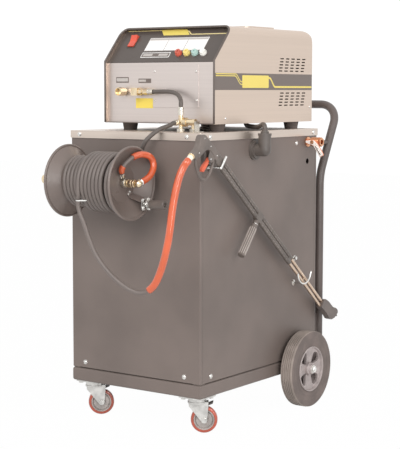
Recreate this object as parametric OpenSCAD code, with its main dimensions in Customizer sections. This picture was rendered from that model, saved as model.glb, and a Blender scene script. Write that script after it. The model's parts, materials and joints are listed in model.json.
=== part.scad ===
// Commercial cold-water pressure washer: tank cabinet on castors and wheels, stainless pump
// head on the lid, overhung hose reel in front and a gun with a twin lance on the right side.
// Millimetres. +X is the operator's right, +Y is to the rear, +Z is up. Z = 0 is the floor.

/* [Cabinet] */
// Width across the side panels
cabinet_w = 610; // [580:5:660]
// Depth from the front panel to the rear panel
cabinet_d = 815; // [780:5:860]
// Height of the tray's underside above the floor
tray_z = 139; // [137:1:145]
// Height of the folded tray
tray_h = 54; // [46:1:66]
// Thickness of the tray's sheet
tray_t = 3; // [2:0.5:3]
// Height of the lid's top above the floor
lid_z = 1114; // [1090:2:1140]
// Depth of the lid's skirt
lid_skirt = 28; // [20:1:36]
// How far the lid stands out past the panels
lid_overhang = 4; // [3:0.5:8]
// Thickness of the panels and the lid
panel_t = 2; // [1.5:0.5:3]
// Gap between the tray and the panels above it
panel_gap = 3; // [1:0.5:6]
// Width of the frame's angle section
angle_w = 30; // [20:1:40]
// Height of the water tank
tank_h = 730; // [600:10:760]
// Wall of the water tank
tank_t = 5; // [3:0.5:8]
// Diameter of the cable entry in the right panel
cable_hole_d = 22; // [16:0.5:28]

/* [Wheels] */
// Diameter of the rear wheels
wheel_d = 305; // [297:1:312]
// Width of a rear tyre
tyre_w = 54; // [44:1:60]
// Diameter of the rear axle
axle_d = 19.05; // [18:0.05:20]
// Distance of the axle behind the front panel
axle_y = 672; // [640:1:690]
// Number of spokes in a rear wheel
spokes = 5; // [4:1:7]
// Diameter of a castor wheel
castor_d = 100; // [92:1:102]
// Width of a castor wheel
castor_w = 32; // [26:1:36]
// Distance from the swivel axis to the castor's axle
castor_trail = 26; // [20:1:30]
// Distance of each swivel axis from the middle
castor_x = 248; // [235:1:252]
// Distance of the swivel axes behind the front panel
castor_y = 62; // [55:1:75]
// Way the right castor trails, from +X towards +Y
castor_turn_right = 34; // [0:1:90]
// Way the left castor trails
castor_turn_left = 40; // [0:1:90]

/* [Pump head] */
// Width of the head
head_w = 520; // [500:5:540]
// Distance of the head's front edge behind the front panel
head_y = 150; // [140:1:160]
// Length of the head from its front edge
head_l = 697; // [680:1:720]
// Height of the rubber feet under the head
foot_h = 28; // [26:1:34]
// Height of the upright front above the feet
front_h = 237; // [225:1:245]
// Height of the hood above the feet
hood_h = 366; // [350:1:385]
// Length of the slanted panel, measured flat along Y
slant_y = 115; // [105:1:125]
// Sheet of the hood
hood_t = 2.5; // [1.5:0.5:3]
// How far the front panels sit inside the rim
recess = 15; // [10:1:20]
// Radius of the hood's long top edges
hood_edge_r = 30; // [20:1:40]
// Radius of the bend at the top of the rear
hood_rear_r = 55; // [35:1:70]
// Rows and columns of slots in a vent
vent_n = 5; // [3:1:6]
// Spacing of the quick-change nozzles
nozzle_pitch = 38.3; // [34:0.1:42]

/* [Hose reel] */
// Distance of the drum's axis in front of the front panel
reel_out = 163; // [160:1:180]
// Height of the drum's axis above the floor
reel_z = 935; // [915:1:950]
// Diameter of the flanges
flange_d = 270; // [262:1:276]
// Sheet of the flanges
flange_t = 2.5; // [2:0.5:3]
// Diameter of the drum's core
core_d = 154; // [140:1:155]
// Diameter of the hollow shaft
shaft_d = 25; // [22:0.5:28]
// Diameter of the high-pressure hose
hose_d = 16.5; // [15:0.1:16.6]

/* [Gun and handle] */
// Distance of the gun and lance out from the right panel
gun_out = 40; // [38:1:44]
// Diameter of a lance tube
lance_d = 12; // [10:0.5:14]
// Spacing of the two lance tubes
lance_gap = 20; // [19.5:0.5:22]
// Length of each lance tube
lance_l = 990; // [960:5:1010]
// Diameter of the push handle's tube
bar_d = 33.4; // [30:0.1:36]
// Height of the crossbar above the floor
bar_z = 1209; // [1180:1:1240]
// Lean of the handle's upper part
bar_lean = 21.3; // [15:0.1:26]

/* [Hidden] */
$fn = 48;

// Clearances
run = 0.05;      // running fit, on the radius
seat = 0.2;      // loose seat between two pieces

// Derived places
half_w = cabinet_w / 2;
mid_y = cabinet_d / 2;
tray_top = tray_z + tray_h;
floor_z = tray_z + tray_t;
panel_z = tray_top + panel_gap;
panel_top = lid_z - panel_t - 8;
frame_top = lid_z - panel_t;
axle_z = wheel_d / 2;
hub_in = half_w + 10;
hub_out = hub_in + tyre_w + 14;
tyre_in = hub_in + 8;
axle_end = hub_out + 12;
castor_z = castor_d / 2;
head_z = lid_z + foot_h;
front_z = head_z + front_h;
hood_z = head_z + hood_h;
head_back = head_y + head_l;
head_in = head_w / 2 - hood_t;
slant = atan2(hood_h - front_h, slant_y);
panel_y = head_y + recess;
slant_z = front_z - recess * (1 - sin(slant)) / cos(slant);
slant_l = (hood_z - hood_t - slant_z) / sin(slant) - 1.5;
pump_z = head_z + 120;
bar_x = half_w - 17;
bar_y = cabinet_d + 67;
bar_bend_z = bar_z - 289;
bar_r = 85;
reel_y = -reel_out;
flange_r = flange_d / 2;
core_r = core_d / 2;
shaft_r = shaft_d / 2;
hose_r = hose_d / 2;
gun_x = half_w + gun_out;
gun_y = -47;
gun_z = lid_z - 7;
gun_tilt = -40;
lance_a = 118;
bar_back = bar_y + (bar_z - bar_bend_z) * tan(bar_lean);
y_front = reel_y - flange_r;
y_rear = bar_back + bar_d / 2;
y_shift = -(y_front + y_rear) / 2;

// ---------------------------------------------------------------- helpers
function unit(v) = v / norm(v);

module place() translate([0, y_shift, 0]) children();

module both_sides() {
    children();
    mirror([1, 0, 0]) children();
}

// rectangle with round corners, exact
module rrect(size, r) {
    square([size.x - 2 * r, size.y], center = true);
    square([size.x, size.y - 2 * r], center = true);
    for (sx = [-1, 1], sy = [-1, 1])
        translate([sx * (size.x / 2 - r), sy * (size.y / 2 - r)]) circle(r);
}

// flat bar with round ends between two points
module bar2d(p, q, w) {
    translate(p) circle(w / 2 + 0.08);
    translate(q) circle(w / 2 + 0.08);
    translate(p) rotate(atan2(q.y - p.y, q.x - p.x)) translate([0, -w / 2])
        square([norm(q - p), w]);
}

module x_rod(r, x0, x1) translate([x0, 0, 0]) rotate([0, 90, 0]) cylinder(r = r, h = x1 - x0);

module y_rod(r, y0, y1) translate([0, y0, 0]) rotate([-90, 0, 0]) cylinder(r = r, h = y1 - y0);

module x_hex(af, x0, x1) translate([x0, 0, 0]) rotate([0, 90, 0])
    cylinder(d = af / cos(30), h = x1 - x0, $fn = 6);

// round bar from one point to another
module rod(p, q, r) {
    d = q - p;
    translate(p) rotate([0, acos(d.z / norm(d)), atan2(d.y, d.x)]) cylinder(r = r, h = norm(d));
}

// a profile drawn in Y and Z, extruded from x0 to x1
module along_x(x0, x1) translate([x0, 0, 0]) rotate([90, 0, 90]) linear_extrude(x1 - x0) children();

// a profile drawn in X and Z, extruded from y0 to y1
module along_y(y0, y1) translate([0, y1, 0]) rotate([90, 0, 0]) linear_extrude(y1 - y0) children();

// points of a smooth curve through p, with k steps between two points and straight ends
function smooth(p, k) = [
    for (i = [0:len(p) - 2], j = [0:k - 1])
        let (t = j / k, a = p[max(i - 1, 0)], b = p[i], c = p[i + 1],
             d = p[min(i + 2, len(p) - 1)])
        i == 0 || i == len(p) - 2 ? b + (c - b) * t
        : (2 * b + (c - a) * t + (2 * a - 5 * b + 4 * c - d) * t * t
            + (3 * b - a - 3 * c + d) * t * t * t) / 2,
    p[len(p) - 1]
];

function tangents(p) = [
    for (i = [0:len(p) - 1])
        i == 0 ? unit(p[1] - p[0])
        : i == len(p) - 1 ? unit(p[i] - p[i - 1])
        : unit(unit(p[i + 1] - p[i]) + unit(p[i] - p[i - 1]))
];

function across(t) = unit(cross(t, abs(t.z) < 0.8 ? [0, 0, 1] : [1, 0, 0]));

// side vectors carried along the tangents without twist
function sides(t) = [
    for (i = 0, u = across(t[0]); i < len(t);
         u = i + 1 < len(t) ? unit(u - (u * t[i + 1]) * t[i + 1]) : u, i = i + 1) u
];

function rings(p, t, u, r, n) = [
    for (i = [0:len(p) - 1], k = [0:n - 1])
        p[i] + r * (cos(k * 360 / n) * u[i] + sin(k * 360 / n) * cross(t[i], u[i]))
];

// skin of a tube: each square between two rings is two triangles
function skin(m, n, o, out) = [
    for (i = [0:m - 2], k = [0:n - 1], h = [0, 1])
        let (a = o + i * n + k, b = o + i * n + (k + 1) % n,
             f = h == 0 ? [a, b, b + n] : [a, b + n, a + n])
        out ? [f[2], f[1], f[0]] : f
];

function fan(o, n, out) = [
    for (k = [1:n - 2]) out ? [o, o + k, o + k + 1] : [o + k + 1, o + k, o]
];

module tube(p, r, n) {
    t = tangents(p);
    u = sides(t);
    m = len(p);
    polyhedron(rings(p, t, u, r, n),
        concat(skin(m, n, 0, true), fan(0, n, true), fan((m - 1) * n, n, false)));
}

// sleeve round a tube with the same ring places
module sleeve(p, t, u, r_out, r_in, n) {
    m = len(p);
    o = m * n;
    ends = [
        for (i = [0, m - 1], k = [0:n - 1], h = [0, 1])
            let (a = i * n + k, b = i * n + (k + 1) % n,
                 f = h == 0 ? [a, b, b + o] : [a, b + o, a + o])
            i == 0 ? f : [f[2], f[1], f[0]]
    ];
    polyhedron(concat(rings(p, t, u, r_out, n), rings(p, t, u, r_in, n)),
        concat(skin(m, n, 0, true), skin(m, n, o, false), ends));
}

// ---------------------------------------------------------------- cabinet
// upright box with round vertical corners, from z0 to z1, grown outwards by g
module box_shell(z0, z1, g, r) translate([0, mid_y, z0]) linear_extrude(z1 - z0)
    rrect([cabinet_w + 2 * g, cabinet_d + 2 * g], r);

module base_tray() color("#6f665f") place() {
    edge = 10;
    difference() {
        intersection() {
            along_y(0, cabinet_d) translate([0, tray_z + tray_h / 2]) rrect([cabinet_w, tray_h], edge);
            along_x(-half_w, half_w) translate([mid_y, tray_z + tray_h / 2])
                rrect([cabinet_d, tray_h], edge);
        }
        box_shell(floor_z, tray_top - tray_t, -tray_t, 4);
        box_shell(tray_top - tray_t - 1, tray_top + 1, -angle_w, 4);
        translate([0, axle_y, axle_z]) x_rod(axle_d / 2 + run, -half_w - 1, half_w + 1);
    }
    // doubler plates that carry the axle
    both_sides() difference() {
        translate([half_w - tray_t - 6, axle_y - 30, floor_z]) cube([6, 60, 40]);
        translate([0, axle_y, axle_z]) x_rod(axle_d / 2 + run, 0, half_w);
    }
    // bearers that lift the tank over the axle
    for (y = [130, 420, 600]) translate([-half_w + tray_t, y, floor_z])
        cube([cabinet_w - 2 * tray_t, 30, 30]);
}

module cabinet_frame() color("#6a625c") place() {
    difference() {
        box_shell(tray_top, frame_top, -panel_t, 3);
        box_shell(tray_top + 3, frame_top - 3, -panel_t - 3, 1);
        box_shell(frame_top - 4, frame_top + 1, -panel_t - angle_w, 1);
        translate([-half_w - 1, panel_t + angle_w, tray_top - 1])
            cube([cabinet_w + 2, cabinet_d - 2 * (panel_t + angle_w), frame_top - tray_top - 24]);
        translate([-half_w + panel_t + angle_w, -1, tray_top - 1])
            cube([cabinet_w - 2 * (panel_t + angle_w), cabinet_d + 2, frame_top - tray_top - 24]);
    }
}

valve_y = cabinet_d - 73;
valve_z = lid_z - 52;
suction_y = 352;
suction_z = lid_z - 71;
cable_z = lid_z - 130;
return_w = 16;

module panel_skin() difference() {
    box_shell(panel_z, panel_top, 0, 4);
    box_shell(panel_z - 1, panel_top + 1, -panel_t, 2.5);
}

// the bent front and rear panels wrap the corners by return_w
module wrap_zone(front) translate([-half_w - 1, front ? -1 : cabinet_d - return_w, panel_z - 1])
    cube([cabinet_w + 2, return_w + 1, panel_top]);

module front_panel() color("#7c7069") place() intersection() {
    panel_skin();
    wrap_zone(true);
}

module rear_panel() color("#7c7069") place() intersection() {
    panel_skin();
    wrap_zone(false);
}

module side_sheet() translate([half_w - panel_t, return_w + 1, panel_z])
    cube([panel_t, cabinet_d - 2 * return_w - 2, panel_top - panel_z]);

module left_panel() color("#7c7069") place() mirror([1, 0, 0]) side_sheet();

module right_panel() color("#7c7069") place() difference() {
    side_sheet();
    translate([0, valve_y, valve_z]) x_rod(11, 0, half_w + 1);
    translate([0, suction_y, suction_z]) x_rod(24 + seat, 0, half_w + 1);
    translate([0, valve_y, cable_z]) x_rod(cable_hole_d / 2, 0, half_w + 1);
}

module lid() color("#cbbfb4") place() difference() {
    box_shell(lid_z - lid_skirt, lid_z, lid_overhang, 6);
    box_shell(lid_z - lid_skirt - 1, lid_z - panel_t, lid_overhang - panel_t, 4);
    // passage for the hoses under the head
    translate([0, mid_y, lid_z - panel_t - 1]) linear_extrude(panel_t + 2) rrect([160, 110], 15);
}

// washered pan-head screw standing on the XY plane
module screw() {
    cylinder(r = 9, h = 1.2);
    translate([0, 0, 1.2]) cylinder(r = 7.6, h = 2.2);
    translate([0, 0, 3.4]) intersection() {
        cylinder(r = 7.6, h = 3);
        translate([0, 0, -11]) sphere(r = 13.3);
    }
}

module panel_screws() color("#d8d4cf") place() {
    low = panel_z + 21;
    for (x = [44 - half_w, half_w - 58]) translate([x, -lid_overhang, lid_z - 14]) rotate([90, 0, 0]) screw();
    for (x = [63 - half_w, half_w - 72]) translate([x, 0, low]) rotate([90, 0, 0]) screw();
    both_sides() {
        for (y = [56, cabinet_d - 35]) translate([half_w + lid_overhang, y, lid_z - 15])
            rotate([0, 90, 0]) screw();
        for (p = [[68, low], [valve_y - 85, lid_z - 55]]) translate([half_w, p.x, p.y])
            rotate([0, 90, 0]) screw();
    }
    for (x = [65 - half_w, half_w - 65]) translate([x, cabinet_d, low]) rotate([-90, 0, 0]) screw();
}

tank_z = floor_z + 30;
tank_half = half_w - 55;
tank_front = 60;
tank_back = cabinet_d - 30;

module water_tank() color("#d9dbd8") place() {
    tank_mid = (tank_front + tank_back) / 2;
    tank_l = tank_back - tank_front;
    difference() {
        translate([0, tank_mid, tank_z]) linear_extrude(tank_h) rrect([2 * tank_half, tank_l], 30);
        translate([0, tank_mid, tank_z + tank_t]) linear_extrude(tank_h)
            rrect([2 * tank_half - 2 * tank_t, tank_l - 2 * tank_t], 30 - tank_t);
    }
    // rolled rim
    translate([0, tank_mid, tank_z + tank_h - 12]) difference() {
        linear_extrude(12) rrect([2 * tank_half + 16, tank_l + 16], 38);
        translate([0, 0, -1]) linear_extrude(14) rrect([2 * tank_half - 2, tank_l - 2], 29);
    }
}

float_x = half_w - 37;
float_z = valve_z - 12;
float_l = 225;
float_drop = 69;

module float_arm() color("#e6e4de") place() translate([float_x, valve_y, float_z])
    rotate([0, -float_drop, 0]) {
        difference() {
            union() {
                rotate([90, 0, 0]) cylinder(r = 7, h = 9, center = true);
                x_rod(3, -float_l + 30, 0);
            }
            rotate([90, 0, 0]) cylinder(r = 3 + run, h = 12, center = true);
        }
        x_rod(30, -float_l - 24, -float_l + 24);
        translate([-float_l + 23.5, 0, 0]) rotate([0, 90, 0]) cylinder(r1 = 29.5, r2 = 20, h = 9);
        translate([-float_l - 23.5, 0, 0]) rotate([0, -90, 0]) cylinder(r1 = 29.5, r2 = 20, h = 9);
    }

// ---------------------------------------------------------------- push handle
leg_z = 250;
bend_r = 80;

// upper part of the handle in its own leaning plane: u is across, v is up the slope
module leaning() translate([0, bar_y, bar_bend_z]) rotate([-bar_lean, 0, 0]) children();

module push_handle() color("#756b64") place() {
    bend_lift = bend_r * tan(bar_lean / 2);
    lean_l = (bar_z - bar_bend_z) / cos(bar_lean);
    straight_r = bar_d / 2 - 0.3;
    both_sides() {
        translate([bar_x, bar_y, leg_z]) cylinder(r = straight_r, h = bar_bend_z - bend_lift - leg_z + 1);
        translate([bar_x, bar_y + bend_r, bar_bend_z - bend_lift]) rotate([90, 0, -90])
            mirror([0, 0, 1])
            rotate_extrude(angle = bar_lean) translate([bend_r, 0]) circle(bar_d / 2);
        leaning() translate([bar_x, 0, bend_lift - 1])
            cylinder(r = straight_r, h = lean_l - bar_r - bend_lift + 2);
        leaning() translate([bar_x - bar_r, 0, lean_l - bar_r]) rotate([90, 0, 0])
            rotate_extrude(angle = 90) translate([bar_r, 0]) circle(bar_d / 2);
        // lower gusset and its foot on the rear panel
        translate([bar_x - 3, 0, 0]) along_x(0, 6) polygon([
            [cabinet_d + 4, leg_z + 12], [bar_y - bar_d / 2 + 2, leg_z + 26],
            [bar_y - bar_d / 2 + 2, leg_z + 96], [cabinet_d + 4, leg_z + 107]]);
        translate([bar_x - 15, cabinet_d, leg_z + 12]) cube([30, 4, 95]);
        // upper standoff
        stand_z = lid_z - 60;
        stand_y = bar_y + (stand_z - bar_bend_z) * tan(bar_lean);
        translate([bar_x, 0, stand_z]) y_rod(9, cabinet_d + 3, stand_y);
        translate([bar_x, 0, stand_z]) y_rod(15, cabinet_d, cabinet_d + 4);
    }
    leaning() translate([0, 0, lean_l]) x_rod(straight_r, -bar_x + bar_r - 1, bar_x - bar_r + 1);
}

// ---------------------------------------------------------------- rear wheels
rim_r = axle_z - 40;

module rear_axle() color("#b9b5b0") place() translate([0, axle_y, axle_z]) {
    x_rod(axle_d / 2, -axle_end, axle_end);
    both_sides() {
        x_rod(16, hub_out + 0.3, axle_end);
        difference() {
            x_rod(17, half_w, hub_in - 0.3);
            x_rod(axle_d / 2 + run, half_w - 1, hub_in + 1);
        }
    }
}

module rear_hub() translate([0, axle_y, axle_z]) difference() {
    web_x = hub_in + 22;
    union() {
        x_rod(24, hub_in, hub_out);
        x_rod(31, hub_in + 12, hub_out - 10);
        for (k = [0:spokes - 1]) rotate([90 + k * 360 / spokes, 0, 0])
            along_x(web_x, web_x + 24) translate([0, 0]) polygon([
                [18, -24], [rim_r - 5, -17], [rim_r - 5, 17], [18, 24]]);
        difference() {
            x_rod(rim_r, tyre_in + 2, tyre_in + tyre_w - 2);
            x_rod(rim_r - 8, tyre_in, tyre_in + tyre_w);
        }
    }
    x_rod(axle_d / 2 + run, hub_in - 1, hub_out + 1);
}

// ribbed solid tyre
module rear_tyre() translate([tyre_in, axle_y, axle_z]) rotate([0, 90, 0]) rotate_extrude() {
    translate([rim_r, 0]) difference() {
        union() {
            translate([0, 2]) square([30, tyre_w - 4]);
            translate([6, 0]) square([22, tyre_w]);
            translate([20, 8]) square([axle_z - rim_r - 20, tyre_w - 16]);
            for (y = [10, tyre_w - 10]) translate([axle_z - rim_r - 12, y]) circle(10);
        }
        for (k = [1:5]) translate([axle_z - rim_r - 3.5, 2 + k * (tyre_w - 4) / 6 - 1.5]) square([4, 3]);
    }
}

module rear_hub_right() color("#b4aeaa") place() rear_hub();
module rear_hub_left() color("#b4aeaa") place() mirror([1, 0, 0]) rear_hub();
module rear_tyre_right() color("#3c3937") place() rear_tyre();
module rear_tyre_left() color("#3c3937") place() mirror([1, 0, 0]) rear_tyre();

// ---------------------------------------------------------------- castors
fork_top = castor_z + 68;
pin_head_z = fork_top - 10;
brake_y = castor_trail + 10;
brake_z = castor_z + castor_d / 2 + 6;

module at_castor(side, turn) place() translate([side * castor_x, castor_y, 0])
    rotate([0, 0, turn - 90]) children();

module caster_plates() color("#c9c5bf") place() both_sides() translate([castor_x, castor_y, 0]) {
    translate([-50, -50, tray_z - 5]) cube([100, 100, 5]);
    translate([0, 0, fork_top + 0.3]) cylinder(r = 34, h = tray_z - 5 - fork_top - 0.3);
    translate([0, 0, pin_head_z]) cylinder(r = 6, h = 20);
    translate([0, 0, pin_head_z - 3]) cylinder(r = 9, h = 6.8);
    for (sx = [-1, 1], sy = [-1, 1]) translate([sx * 37, sy * 37, tray_z - 12])
        cylinder(d = 17 / cos(30), h = 8, $fn = 6);
}

// fork in its own frame: the wheel trails towards +Y
module fork() {
    in = castor_w / 2 + 1.5;
    difference() {
        union() {
            translate([0, 0, fork_top - 6]) cylinder(r = 36, h = 6);
            translate([-in - 4, -8, fork_top - 6]) cube([2 * in + 8, 44, 6]);
            for (s = [-1, 1]) along_x(s * (in + 2) - 2, s * (in + 2) + 2) {
                polygon([[-31, fork_top], [42, fork_top], [42, brake_z - 6],
                    [castor_trail + 11, castor_z - 4], [castor_trail - 11, castor_z - 4],
                    [-31, fork_top - 15]]);
                translate([castor_trail, castor_z]) circle(12);
            }
        }
        translate([0, 0, fork_top - 7]) cylinder(r = 6 + run, h = 10);
        translate([-in, -30, castor_z - 20]) cube([2 * in, 90, fork_top - 6 - castor_z + 20]);
    }
    translate([0, castor_trail, castor_z]) {
        x_rod(6, -in - 7, in + 7);
        for (s = [-1, 1]) translate([s * (in + 6.5), 0, 0]) x_hex(18, -3, 3);
    }
    translate([0, brake_y, brake_z]) x_rod(3, -in - 4, in + 4);
}

module castor_wheel() translate([0, castor_trail, castor_z]) difference() {
    rotate([0, 90, 0]) rotate_extrude() difference() {
        union() {
            translate([0, -castor_w / 2 - 1.3]) square([16, castor_w + 2.6]);
            translate([0, -castor_w / 2 + 9]) square([castor_z - 8, castor_w - 18]);
            translate([castor_z - 16, -castor_w / 2]) square([12, castor_w]);
            translate([castor_z - 12, -castor_w / 2 + 4]) square([12, castor_w - 8]);
            for (s = [-1, 1]) translate([castor_z - 4, s * (castor_w / 2 - 4)]) circle(4);
        }
    }
    x_rod(6 + run, -castor_w, castor_w);
}

// foot pedal hinged between the fork's sides
module brake() {
    w = castor_w / 2 + 1.2;
    translate([0, brake_y, brake_z]) difference() {
        union() {
            x_rod(5.4, -w, w);
            along_x(-w, w) polygon([[0, 0], [8, 0], [22, 6], [24, 12], [8, 5.4], [0, 5.4]]);
        }
        x_rod(3 + run, -w - 1, w + 1);
    }
}

module caster_fork_left() color("#c4c0ba") at_castor(-1, castor_turn_left) fork();
module caster_fork_right() color("#c4c0ba") at_castor(1, castor_turn_right) fork();
module caster_wheel_left() color("#b05545") at_castor(-1, castor_turn_left) castor_wheel();
module caster_wheel_right() color("#b05545") at_castor(1, castor_turn_right) castor_wheel();
module caster_brake_left() color("#3a3735") at_castor(-1, castor_turn_left) brake();
module caster_brake_right() color("#3a3735") at_castor(1, castor_turn_right) brake();

// ---------------------------------------------------------------- pump head
inlet_x = -172;
outlet_x = -98;
foot_x = head_w / 2 - 51;
port_y = head_y - 10;

module head_chassis() color("#6a625c") place() {
    difference() {
        translate([-head_in + seat, head_y + 2, head_z]) cube([2 * (head_in - seat), head_l - hood_t - 2 - seat, 3]);
        translate([foot_x - 10, 452, head_z - 1]) cylinder(r = 11, h = 6);
    }
    // strainer boss where the suction hose comes up
    translate([foot_x - 10, 452, head_z + 3]) difference() {
        cylinder(r = 16, h = 14);
        translate([0, 0, -1]) cylinder(r = 11, h = 10);
    }
}

// side view of the hood, drawn in by t all round
module hood_side(t, open_front) {
    r = hood_rear_r - t;
    top = hood_z - t;
    back = head_back - t;
    front = open_front ? head_y - 60 : head_y;
    low = open_front ? head_z - 1 : head_z;
    nose = open_front ? [[front, top]] : [[head_y, front_z], [head_y + slant_y, hood_z]];
    polygon(concat([[front, low]], nose, [[back - r, top], [back, top - r], [back, low]]));
    translate([back - r, top - r]) circle(r);
}

module hood_front(t) {
    r = hood_edge_r - t;
    x = head_w / 2 - t;
    top = hood_z - t;
    polygon([[-x, head_z - t], [-x, top - r], [-x + r, top], [x - r, top], [x, top - r], [x, head_z - t]]);
    for (s = [-1, 1]) translate([s * (x - r), top - r]) circle(r);
}

// one group of slots, drawn in Y and Z from its lower rear corner
module vents(y, z) for (row = [0:vent_n - 1], col = [0:vent_n - 1])
    translate([y + col * 41 + row * 3, z + row * 12]) bar2d([2, 0], [24, 0], 4.5);

module head_hood() color("#c9beb2") place() {
    difference() {
        intersection() {
            along_x(-head_w, head_w) hood_side(0, false);
            along_y(0, cabinet_d + 100) hood_front(0);
        }
        intersection() {
            along_x(-head_w, head_w) hood_side(hood_t, true);
            along_y(0, cabinet_d + 100) hood_front(hood_t);
        }
        along_x(-head_w, head_w) {
            vents(head_y + 443, head_z + 67);
            vents(head_y + 443, head_z + 202);
        }
    }
    // low raised cover on the top
    intersection() {
        translate([0, head_y + 385, 0]) linear_extrude(2000) rrect([430, 220], 28);
        along_x(-230, 230) polygon([[head_y + 275, hood_z], [head_y + 287, hood_z + 7],
            [head_y + 483, hood_z + 7], [head_y + 495, hood_z]]);
    }
}

module head_front() color("#7a6e67") place() {
    difference() {
        translate([-head_in + seat, panel_y, head_z + 3]) cube([2 * (head_in - seat), hood_t, slant_z - head_z - 4]);
        translate([inlet_x, 0, pump_z]) y_rod(13, 0, 300);
        translate([outlet_x, 0, pump_z]) y_rod(13, 0, 300);
    }
    // access plate
    translate([72, 0, pump_z + 21]) along_y(panel_y - 1.6, panel_y) rrect([214, 161], 4);
}

// the slanted panel's own plane: X across, Y up the slope, Z out of the face
module on_slant() translate([0, panel_y, slant_z]) rotate([slant, 0, 0]) children();

// the sheet, cut round at the top to fit between the hood's edges
module slant_sheet() intersection() {
    translate([-head_in + seat, 1, -hood_t]) cube([2 * (head_in - seat), slant_l, hood_t]);
    rotate([-slant, 0, 0]) translate([0, -panel_y, -slant_z]) along_y(0, mid_y)
        hood_front(hood_t + seat);
}

rocker_at = [-187, 111];
rocker_size = [30, 57];
nozzle_at = [67, 42];

module control_panel() color("#756a62") place() on_slant() {
    difference() {
        slant_sheet();
        translate([rocker_at.x, rocker_at.y, -5]) linear_extrude(10) square(rocker_size + [1.6, 1.6], center = true);
        for (k = [0:3]) translate([nozzle_at.x + k * nozzle_pitch, nozzle_at.y, -10]) cylinder(r = 7.3, h = 20);
    }
    // bezel of the switch
    translate([rocker_at.x, rocker_at.y, 0]) difference() {
        linear_extrude(2) rrect([rocker_size.x + 9, rocker_size.y + 9], 3);
        translate([0, 0, -1]) linear_extrude(4) square(rocker_size + [1.6, 1.6], center = true);
    }
    // switch box behind the panel
    translate([rocker_at.x, rocker_at.y, -hood_t - 45]) difference() {
        translate([-30, -38, 0]) cube([60, 76, 45]);
        translate([0, 0, 25]) linear_extrude(30) square(rocker_size + [1.6, 1.6], center = true);
    }
    translate([rocker_at.x, rocker_at.y, -5]) x_rod(2.5, -rocker_size.x / 2 - 3, rocker_size.x / 2 + 3);
    // nozzle sockets
    for (k = [0:3]) translate([nozzle_at.x + k * nozzle_pitch, nozzle_at.y, -hood_t - 24]) difference() {
        cylinder(r = 10.5, h = 24);
        translate([0, 0, 2]) cylinder(r = 7.3, h = 30);
    }
}

module rocker_switch() color("#c23a2c") place() on_slant()
    translate([rocker_at.x, rocker_at.y, -5]) rotate([9, 0, 0]) difference() {
        along_x(-rocker_size.x / 2, rocker_size.x / 2) polygon([[-27.6, 2], [-26, 15], [0, 10],
            [26, 15], [27.6, 2], [16, -10], [-16, -10]]);
        x_rod(2.5 + run, -20, 20);
    }

// quick-change nozzle: plug, flange and coloured cap
module nozzle(k) place() on_slant()
    translate([nozzle_at.x + k * nozzle_pitch, nozzle_at.y, 0]) difference() {
        union() {
            translate([0, 0, -22]) cylinder(r = 7, h = 24);
            translate([0, 0, 0.2]) cylinder(r = 14, h = 7);
            translate([0, 0, 7]) cylinder(r1 = 13, r2 = 11, h = 9);
        }
        translate([0, 0, 12]) cylinder(r = 4, h = 5);
    }

module nozzle_red() color("#c4473a") nozzle(0);
module nozzle_yellow() color("#e6c84e") nozzle(1);
module nozzle_green() color("#9dc4bd") nozzle(2);
module nozzle_white() color("#efece6") nozzle(3);

module head_feet() color("#3e3a38") place() both_sides()
    for (y = [head_y + 94, head_y + 619]) translate([foot_x, y, lid_z])
        cylinder(r1 = 26, r2 = 31, h = foot_h);

crank_y = head_y + 160;
motor_r = 95;
motor_end = head_w / 2 - 25;

module motor() color("#8d9190") place() translate([0, crank_y, pump_z]) {
    x_rod(motor_r - 6, -10, motor_end - 25);
    x_rod(motor_r, -10, 12);
    x_rod(motor_r, motor_end - 75, motor_end - 51);
    for (k = [0:9]) translate([20 + k * 14, 0, 0]) x_rod(motor_r - 1, 0, 3);
    x_rod(60, -30, -9);
    x_rod(motor_r - 3, motor_end - 26, motor_end);
    translate([0, -75, head_z + 3 - pump_z]) cube([170, 150, 45]);
    translate([40, -40, motor_r - 15]) cube([90, 80, 55]);
}

module pump() color("#b59a5e") place() {
    translate([0, crank_y, pump_z]) x_rod(48, -70, -30);
    translate([-215, crank_y - 58, pump_z - 62]) cube([150, 120, 124]);
    translate([-205, crank_y - 110, pump_z - 32]) cube([130, 60, 64]);
    for (x = [-180, -140, -100]) translate([x, crank_y - 84, pump_z + 30]) cylinder(r = 14, h = 16);
    translate([-200, crank_y - 40, head_z + 3]) cube([120, 90, 60]);
    translate([-88, crank_y - 84, pump_z]) cylinder(r = 12, h = 75);
}

module inlet_swivel() color("#d1b474") place() translate([inlet_x, 0, pump_z]) difference() {
    union() {
        rotate([90, 0, 0]) translate([0, 0, -port_y - 15]) cylinder(d = 34, h = 34, $fn = 8);
        y_rod(14, port_y + 14, port_y + 22);
    }
    y_rod(12.9, port_y - 20, port_y - 3.2);
    y_rod(12.5, port_y - 4, port_y + 1);
    y_rod(9 + run, port_y, port_y + 24);
}

// ---------------------------------------------------------------- water fittings
tee_z = lid_z + 36;
tee_y = 100;
tee_x = 144;
tee_port = [tee_x - 4, tee_y, tee_z];
nipple_gap = 58;
swivel_x = -283;

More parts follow.
